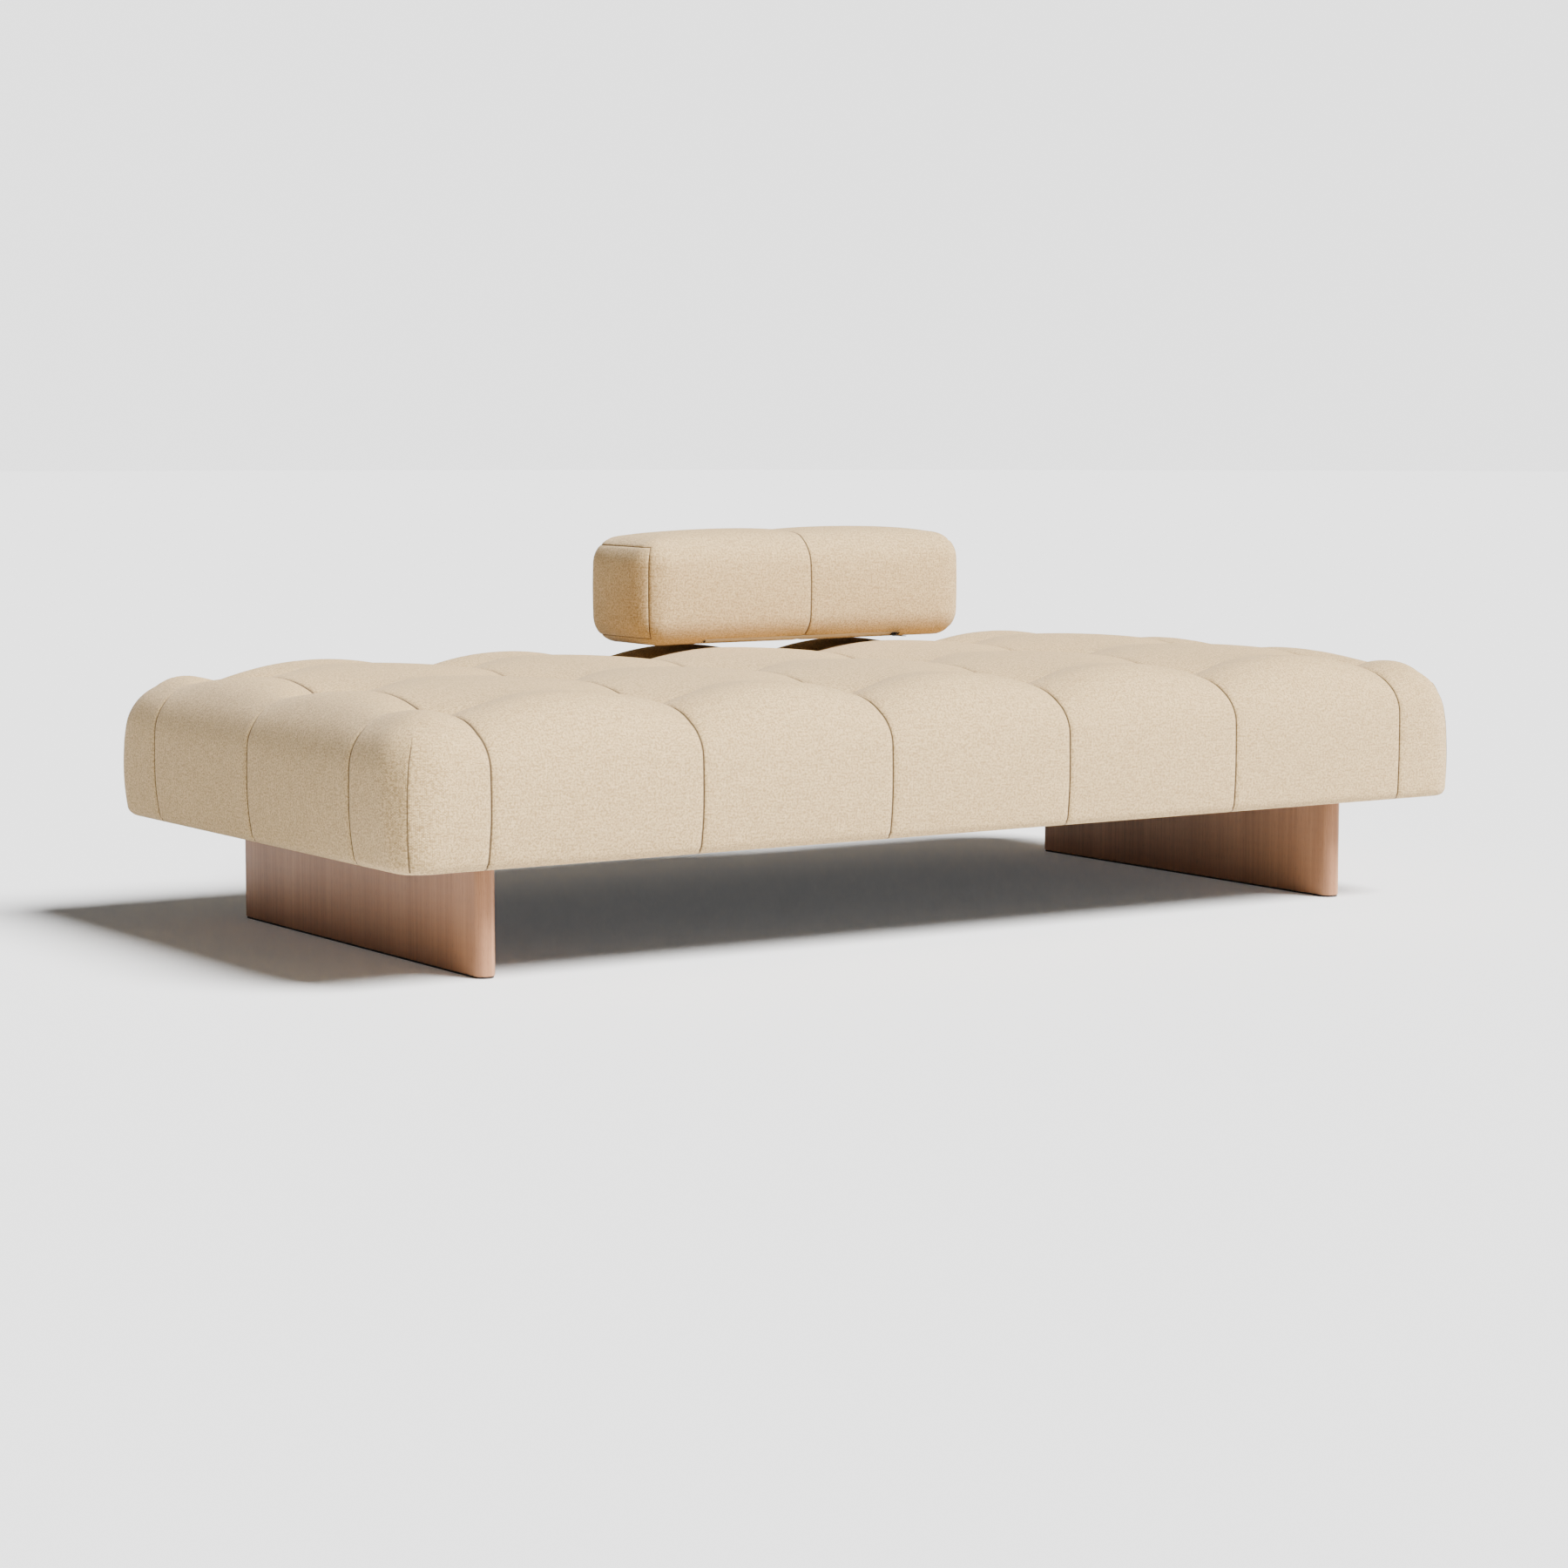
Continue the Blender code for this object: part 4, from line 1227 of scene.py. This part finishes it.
@dataclass
class SlabLegs:
    """Both slab legs with half-round ends, and the felt glides under them."""

    finishes: Finishes
    arc_steps: int = 24
    edge: float = 0.0018
    pocket_radius: float = 0.0064
    pocket_depth: float = 0.0258
    pocket_sides: int = 32
    glide_edge: float = 0.0004

    def slab(self, name: str, node: str, edge: float, material: Any) -> Any:
        """A slab on edge, with half-round ends and softened rims.

        Args:
            name: The piece's name.
            node: The CAD node whose box it fills.
            edge: The radius of its upper and lower rims.
            material: Its material.

        Returns:
            The slab.
        """
        low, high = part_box(node)
        middle_x, radius = (low.x + high.x) / 2, (high.x - low.x) / 2
        middle_y, straight = (low.y + high.y) / 2, (high.y - low.y) / 2 - radius
        turn = np.linspace(0, math.pi, self.arc_steps + 1)
        run = np.linspace(-straight, straight, 40)[1:-1]
        normals = np.concatenate([
            np.stack([np.cos(turn), np.sin(turn)], 1), np.tile([-1.0, 0.0], (len(run), 1)),
            np.stack([-np.cos(turn), -np.sin(turn)], 1), np.tile([1.0, 0.0], (len(run), 1))])
        spine = np.concatenate([np.full(len(turn), straight), run[::-1],
                                np.full(len(turn), -straight), run])
        bend = np.linspace(0, math.pi / 2, 5)
        inset = np.concatenate([edge * (1 - np.sin(bend)), edge * (1 - np.cos(bend))])
        level = np.concatenate([low.z + edge * (1 - np.cos(bend)),
                                high.z - edge * (1 - np.sin(bend))])
        reach = radius - inset[:, None]
        x = middle_x + normals[None, :, 0] * reach
        y = middle_y + spine[None] + normals[None, :, 1] * reach
        z = np.broadcast_to(level[:, None], x.shape)
        points = np.stack([x, y, z], -1)
        outline = points[len(bend)][:, :2]
        steps = np.linalg.norm(np.roll(outline, -1, 0) - outline, axis=1)
        along = np.concatenate([[0], np.cumsum(steps)])
        rows, columns = x.shape
        number = np.arange(rows * columns).reshape(rows, columns)
        after = np.roll(number, -1, 1)
        quads = np.stack([number[:-1], after[:-1], after[1:], number[1:]], -1).reshape(-1, 4)
        u = np.broadcast_to(along[:-1], (rows - 1, columns))
        u_next = np.broadcast_to(along[1:], (rows - 1, columns))
        v, v_next = (np.broadcast_to(level[part][:, None], (rows - 1, columns))
                     for part in (slice(None, -1), slice(1, None)))
        uv = np.stack([np.stack([u, v], -1), np.stack([u_next, v], -1),
                       np.stack([u_next, v_next], -1), np.stack([u, v_next], -1)], 2)
        caps = [number[0, ::-1].tolist(), number[-1].tolist()]
        cap_uv = np.concatenate([points[0, ::-1, [1, 0]].T, points[-1, :, [1, 0]].T])
        return new_object(name, points.reshape(-1, 3), quads.tolist() + caps, material,
                          np.concatenate([uv.reshape(-1, 2), cap_uv]))

    def pockets(self, slab: Any, side: str) -> None:
        """Sinks the threaded inserts' pockets in a slab's top.

        Args:
            slab: The slab.
            side: "left" or "right".

        Returns:
            Nothing.
        """
        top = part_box(f"{side}_leg_slab")[1].z
        count = self.pocket_sides
        turn = np.linspace(0, 2 * math.pi, count + 1)[:-1]
        ring = np.stack([np.cos(turn), np.sin(turn)], 1) * self.pocket_radius
        for number in (1, 2, 3):
            low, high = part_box(f"leg_insert_{side}_{number}")
            middle = np.array([(low.x + high.x) / 2, (low.y + high.y) / 2])
            points = np.concatenate([np.c_[ring + middle, np.full(count, level)]
                                     for level in (top - self.pocket_depth, top + 0.01)])
            index = np.arange(count)
            after = (index + 1) % count
            sides = np.stack([index, after, after + count, index + count], 1).tolist()
            faces = sides + [index[::-1].tolist(), (index + count).tolist()]
            cutter = new_object("pocket_cutter", points, faces, None)
            hole = slab.modifiers.new("Pocket", "BOOLEAN")
            hole.object, hole.operation, hole.solver = cutter, "DIFFERENCE", "EXACT"
            bpy.context.view_layer.update()
            graph = bpy.context.evaluated_depsgraph_get()
            cut = bpy.data.meshes.new_from_object(slab.evaluated_get(graph))
            slab.modifiers.clear()
            slab.data = cut
            bpy.data.objects.remove(cutter)
        slab.data.name = slab.name

    def build(self) -> None:
        """Args: none. Returns: nothing; builds both legs."""
        for side in ("left", "right"):
            slab = self.slab(f"{side}_slab", f"{side}_leg_slab", self.edge, self.finishes.oak)
            self.pockets(slab, side)
            glide = self.slab(f"{side}_glide", f"{side}_leg_glide", self.glide_edge,
                              self.finishes.felt)
            for made, node, slot in ((slab, f"{side}_leg_slab", "oak_veneer"),
                                     (glide, f"{side}_leg_glide", "felt")):
                made.data.set_sharp_from_angle(angle=math.radians(50))
                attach(made, "daybed")
                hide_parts(node)
                LOG.info("built %s", made.name)


@dataclass
class Bolster:
    """The loose bolster: a sewn cover round a fibre core, with a zip in its lower edge."""

    finishes: Finishes
    half: Tuple[float, float, float] = (0.3245, 0.100, 0.0885)
    radius: float = 0.042
    crowns: Tuple[float, float, float] = (0.009, 0.006, 0.010)
    crown_power: int = 5
    fine: Tuple[float, ...] = (0.0007, 0.0016, 0.0028, 0.0045, 0.007, 0.011, 0.017)
    step: float = 0.008
    groove: float = 0.0024
    pinch: float = 0.0010
    wall: float = 0.0014
    zip_angle: float = math.radians(62)
    zip_half: Tuple[float, float] = (0.2000, 0.0064)
    zip_sink: float = 0.0026
    core_inset: float = 0.0065
    core_step: float = 0.014
    coarse_step: float = 0.011
    puff: float = 0.004
    tape_width: float = 0.0116
    tape_wall: float = 0.0005
    coil_pitch: float = 0.00125
    coil_height: float = 0.00018
    coil_half: float = 0.0017

    def centre(self) -> Array:
        """Args: none. Returns: the middle of the bolster's flat box."""
        low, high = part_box("bolster_cover")
        return np.array([(low.x + high.x) / 2, (low.y + high.y) / 2, low.z + self.half[2]])

    def form(self, sharp: Array, inset: float) -> Array:
        """The bolster's outside about its own middle.

        Args:
            sharp: Points on its sharp box, drawn in by the same inset.
            inset: How far inside the cover the surface lies.

        Returns:
            The points.
        """
        half = np.array(self.half) - inset
        radius = self.radius - inset
        box = Rounding(half[0], half[1], -half[2], half[2], radius, radius, (radius,) * 3)
        points, _ = box.shape(sharp)
        share = points / half
        flat = np.maximum(0.0, 1 - share ** 2)
        wide = flat[:, 0] ** 0.75
        power = self.crown_power
        push = np.stack([self.crowns[0] * share[:, 0] ** power * flat[:, 1] * flat[:, 2],
                         self.crowns[1] * share[:, 1] ** power * flat[:, 2] * wide,
                         self.crowns[2] * np.maximum(0, share[:, 2]) ** power * flat[:, 1] * wide],
                        1)
        middle = np.exp(-(points[:, 0] / 0.045) ** 2)[:, None]
        pull = self.pinch * middle * np.array([0.0, 1.0, 1.0]) * share
        pull[:, 2] = np.maximum(pull[:, 2], 0.0)
        return points + push - pull

    def seams(self, sharp: Array) -> Tuple[Array, Array]:
        """How near each point is to the middle seam or an end panel's border.

        Args:
            sharp: Points on the sharp box.

        Returns:
            The distance to the nearest seam, and how much it shows.
        """
        x, y, z = np.abs(sharp).T
        on_end = x > self.half[0] - 1e-6
        border = np.minimum(self.half[1] - y, self.half[2] - z)
        to_end = np.where(on_end, border, self.half[0] - x)
        return np.minimum(x, to_end), np.ones(len(x))

    def grid(self, inset: float, fine: Sequence[float], step: float) -> BoxGrid:
        """A box grid for the bolster.

        Args:
            inset: How far the box is drawn in.
            fine: Distances of the closer lines beside each seam.
            step: The widest space between lines.

        Returns:
            The grid.
        """
        half = np.array(self.half) - inset
        x = grid_lines((0.0,), half[0], step, fine)
        y, z = (grid_lines((), half[axis], step, fine) for axis in (1, 2))
        if fine:
            near = half[1] - self.radius * (1 - np.linspace(0.25, 0.85, 29))
            y = np.unique(np.round(np.concatenate([y[(y < -near.max()) | (y > -near.min())],
                                                   -near]), 6))
        return BoxGrid((x, y, z))

    def inflate(self, fine: BoxGrid) -> Array:
        """Blows the cover up between its seams.

        Args:
            fine: The grid that the movement is carried onto.

        Returns:
            How far each vertex moves.
        """
        coarse = self.grid(0.0, (), self.coarse_step)
        gap, _ = self.seams(coarse.sharp)
        held = (gap < 1e-6).astype(float)
        held[(coarse.sharp[:, 2] < -self.half[2] + 1e-6)] = 1.0
        puffing = Inflation(most=self.puff)
        moved = puffing.run(self.form(coarse.sharp, 0.0), coarse.faces, held)
        return carry(moved, coarse, fine)

    def cover(self) -> Any:
        """Args: none. Returns: the sewn cover."""
        grid = self.grid(0.0, self.fine, self.step)
        points = self.form(grid.sharp, 0.0)
        points = points + self.inflate(grid)
        gap, show = self.seams(grid.sharp)
        normals = vertex_normals(points, grid.faces)
        sunk = self.groove * np.exp(-gap / 0.0032)
        # The zip lies in a shallow bed on the round of the front lower edge.
        outward = np.array([-math.cos(self.zip_angle), -math.sin(self.zip_angle)])
        core = np.array([-(self.half[1] - self.radius), -(self.half[2] - self.radius)])
        away = points[:, 1:] - core
        across = away @ np.array([outward[1], -outward[0]])
        ahead = away @ outward > 0
        bed = (1 - np.clip((np.abs(across) - self.zip_half[1]) / 0.0012, 0, 1)) * ahead
        bed = bed * (1 - np.clip((np.abs(points[:, 0]) - self.zip_half[0]) / 0.002, 0, 1))
        sunk = sunk * (1 - bed) + self.zip_sink * bed
        points = points - normals * sunk[:, None]
        made = new_object("bolster_sewn", points + self.centre(), grid.faces,
                          self.finishes.cream, grid.cloth_uv(self.radius))
        keep_number(made, "seam_gap", gap)
        keep_number(made, "seam_show", show * (1 - bed))
        add_wall(made, self.wall, -1.0)
        return made

    def core(self) -> Any:
        """Args: none. Returns: the fibre core."""
        grid = self.grid(self.core_inset, (), self.core_step)
        points = self.form(grid.sharp, self.core_inset)
        made = new_object("bolster_filling", points + self.centre(), grid.faces,
                          self.finishes.fibre)
        return made

    def chain(self) -> Any:
        """Args: none. Returns: the zip's two tapes and its closed coil, as one strip."""
        low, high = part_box("zip_tape")
        outward = np.array([0.0, -math.cos(self.zip_angle), -math.sin(self.zip_angle)])
        sideways = np.array([0.0, outward[2], -outward[1]])
        middle = np.array([(low.x + high.x) / 2, (low.y + high.y) / 2, (low.z + high.z) / 2])
        length, width = high.x - low.x, self.tape_width
        a = np.linspace(-length / 2, length / 2, 2001)
        b = np.concatenate([[-width / 2, -0.0035, -0.0019], np.linspace(-0.0016, 0.0016, 9),
                            [0.0019, 0.0035, width / 2]])
        first, second = np.meshgrid(a, b, indexing="ij")
        coil = np.clip(1 - (second / self.coil_half) ** 2, 0, 1) ** 0.5
        turns = np.abs(np.sin(math.pi * first / self.coil_pitch + second * 400.0))
        height = self.coil_height * coil * turns
        level = 0.0002 + height - 0.0001 * (np.abs(second) > self.coil_half)
        points = (middle + first[..., None] * np.array([1.0, 0.0, 0.0])
                  + second[..., None] * sideways + level[..., None] * outward)
        faces = grid_quads(first.shape)
        normal = vertex_normals(points.reshape(-1, 3), faces).mean(0)
        faces = faces if normal @ outward > 0 else faces[:, ::-1]
        made = new_object("zip_chain", points.reshape(-1, 3), faces, self.finishes.tape)
        add_wall(made, self.tape_wall, -1.0)
        return made

    def build(self) -> None:
        """Args: none. Returns: nothing; builds the bolster's cover, core and zip chain."""
        for made, node, slot in ((self.cover(), "bolster_cover", "cream_weave"),
                                 (self.core(), "bolster_core", "white_fibre"),
                                 (self.chain(), "zip_tape", "zip_tape_cloth")):
            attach(made, "bolster")
            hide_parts(node)
            LOG.info("built %s", made.name)


@dataclass
class Carcass:
    """The CAD pieces that are shown as they are: timber, boards and hardware."""

    finishes: Finishes

    def build(self) -> None:
        """Args: none. Returns: nothing; puts a finish on every CAD node that shows."""
        looks = self.finishes
        by_name = (("front_rail", looks.pine_x), ("back_rail", looks.pine_x),
                   ("end_rail", looks.pine_y), ("cross_rail", looks.pine_y),
                   ("corner_block", looks.pine_x), ("deck_panel", looks.plywood),
                   ("leg_board", looks.plywood), ("leg_slab", looks.oak),
                   ("leg_glide", looks.felt), ("leg_insert", looks.brass),
                   ("leg_washer", looks.steel), ("leg_bolt", looks.steel),
                   ("quilted_cover", looks.cream), ("bolster_cover", looks.cream),
                   ("fibre_wadding", looks.fibre), ("bolster_core", looks.fibre),
                   ("foam_core", looks.foam), ("dust_cover", looks.black_cloth),
                   ("zip_tape", looks.tape), ("zip_", looks.black_metal))
        for name, node in frame["nodes"].items():
            material = next(look for part, look in by_name if part in name)
            node.data.materials.clear()
            node.data.materials.append(material)
            LOG.info("finished %s with %s", name, material.name)


@dataclass
class Studio:
    """A pale floor, soft light and the camera."""

    sensor: float = 36.0
    view_end: float = 200.0
    wall_sides: int = 96
    wall_height: float = 40.0
    wall_gap: float = 2.0
    camera_place: Tuple[float, float, float] = (-3.3737, -5.0369, 0.8244)
    yaw: float = math.radians(33.511)
    pitch: float = math.radians(5.870)
    lens: float = 85.97
    floor_colour: Colour = (0.86, 0.86, 0.86)
    floor_half: float = 40.0
    ambient: float = 0.06
    key_power: float = 13.4
    floor_glow: float = 0.065
    key_spread: float = math.radians(28.0)
    key_from: Tuple[float, float, float] = (0.36, -0.575, 0.76)
    backdrop_glow: float = 2.40

    def key_light(self) -> None:
        """Args: none. Returns: nothing; adds the broad key light, from the front right above."""
        light = bpy.data.lights.new("key", "SUN")
        light.energy, light.angle = self.key_power, self.key_spread
        made = bpy.data.objects.new("key", light)
        bpy.context.scene.collection.objects.link(made)
        x, y, z = self.key_from
        made.rotation_euler = (math.atan2(math.hypot(x, y), z), 0, math.atan2(x, -y))

    def backdrop(self) -> None:
        """Args: none. Returns: nothing; adds a white wall all round, which casts no light."""
        steps = self.wall_sides
        turn = np.linspace(0, 2 * math.pi, steps + 1)[:-1]
        ring = np.stack([np.cos(turn), np.sin(turn)], 1) * (self.floor_half - self.wall_gap)
        points = np.concatenate([np.c_[ring, np.full(steps, level)]
                                 for level in (0.0, self.wall_height)])
        index = np.arange(steps)
        after = (index + 1) % steps
        faces = np.stack([after, index, index + steps, after + steps], 1)
        graph = Graph("white_wall")
        material = graph.surface(Base_Color=(0.0, 0.0, 0.0), Emission_Color=(1.0, 1.0, 1.0),
                                 Emission_Strength=self.backdrop_glow)
        wall = new_object("backdrop", points, faces, material)
        wall.visible_diffuse = wall.visible_glossy = wall.visible_shadow = False

    def build(self) -> None:
        """Args: none. Returns: nothing; builds the setting."""
        size = self.floor_half
        corners = np.array([[-size, -size, 0], [size, -size, 0], [size, size, 0],
                            [-size, size, 0]], float)
        graph = Graph("pale_floor")
        material = graph.surface(Base_Color=self.floor_colour, Roughness=0.9,
                                 Specular_IOR_Level=0.1, Emission_Color=(1.0, 1.0, 1.0),
                                 Emission_Strength=self.floor_glow)
        floor = new_object("floor", corners, [[0, 1, 2, 3]], material)
        world = bpy.data.worlds.new("studio")
        world.use_nodes = True
        world.node_tree.nodes["Background"].inputs[0].default_value = (1.0, 1.0, 1.0, 1.0)
        world.node_tree.nodes["Background"].inputs[1].default_value = self.ambient
        bpy.context.scene.world = world
        self.backdrop()
        self.key_light()
        camera = bpy.data.cameras.new("camera")
        camera.lens, camera.sensor_width = self.lens, self.sensor
        camera.clip_end = self.view_end
        made = bpy.data.objects.new("camera", camera)
        bpy.context.scene.collection.objects.link(made)
        made.location = self.camera_place
        made.rotation_euler = (math.pi / 2 - self.pitch, 0, -self.yaw)
        bpy.context.scene.camera = made
        LOG.info("built the setting")


def main() -> None:
    """Builds the daybed's looks in order.

    Args:
        None.

    Returns:
        Nothing.
    """
    logging.basicConfig(level=logging.INFO, format="%(name)s: %(message)s")
    finishes = Finishes()
    Carcass(finishes).build()
    Upholstery(finishes).build()
    SlabLegs(finishes).build()
    Bolster(finishes).build()
    Studio().build()


if __name__ == "__main__":
    main()
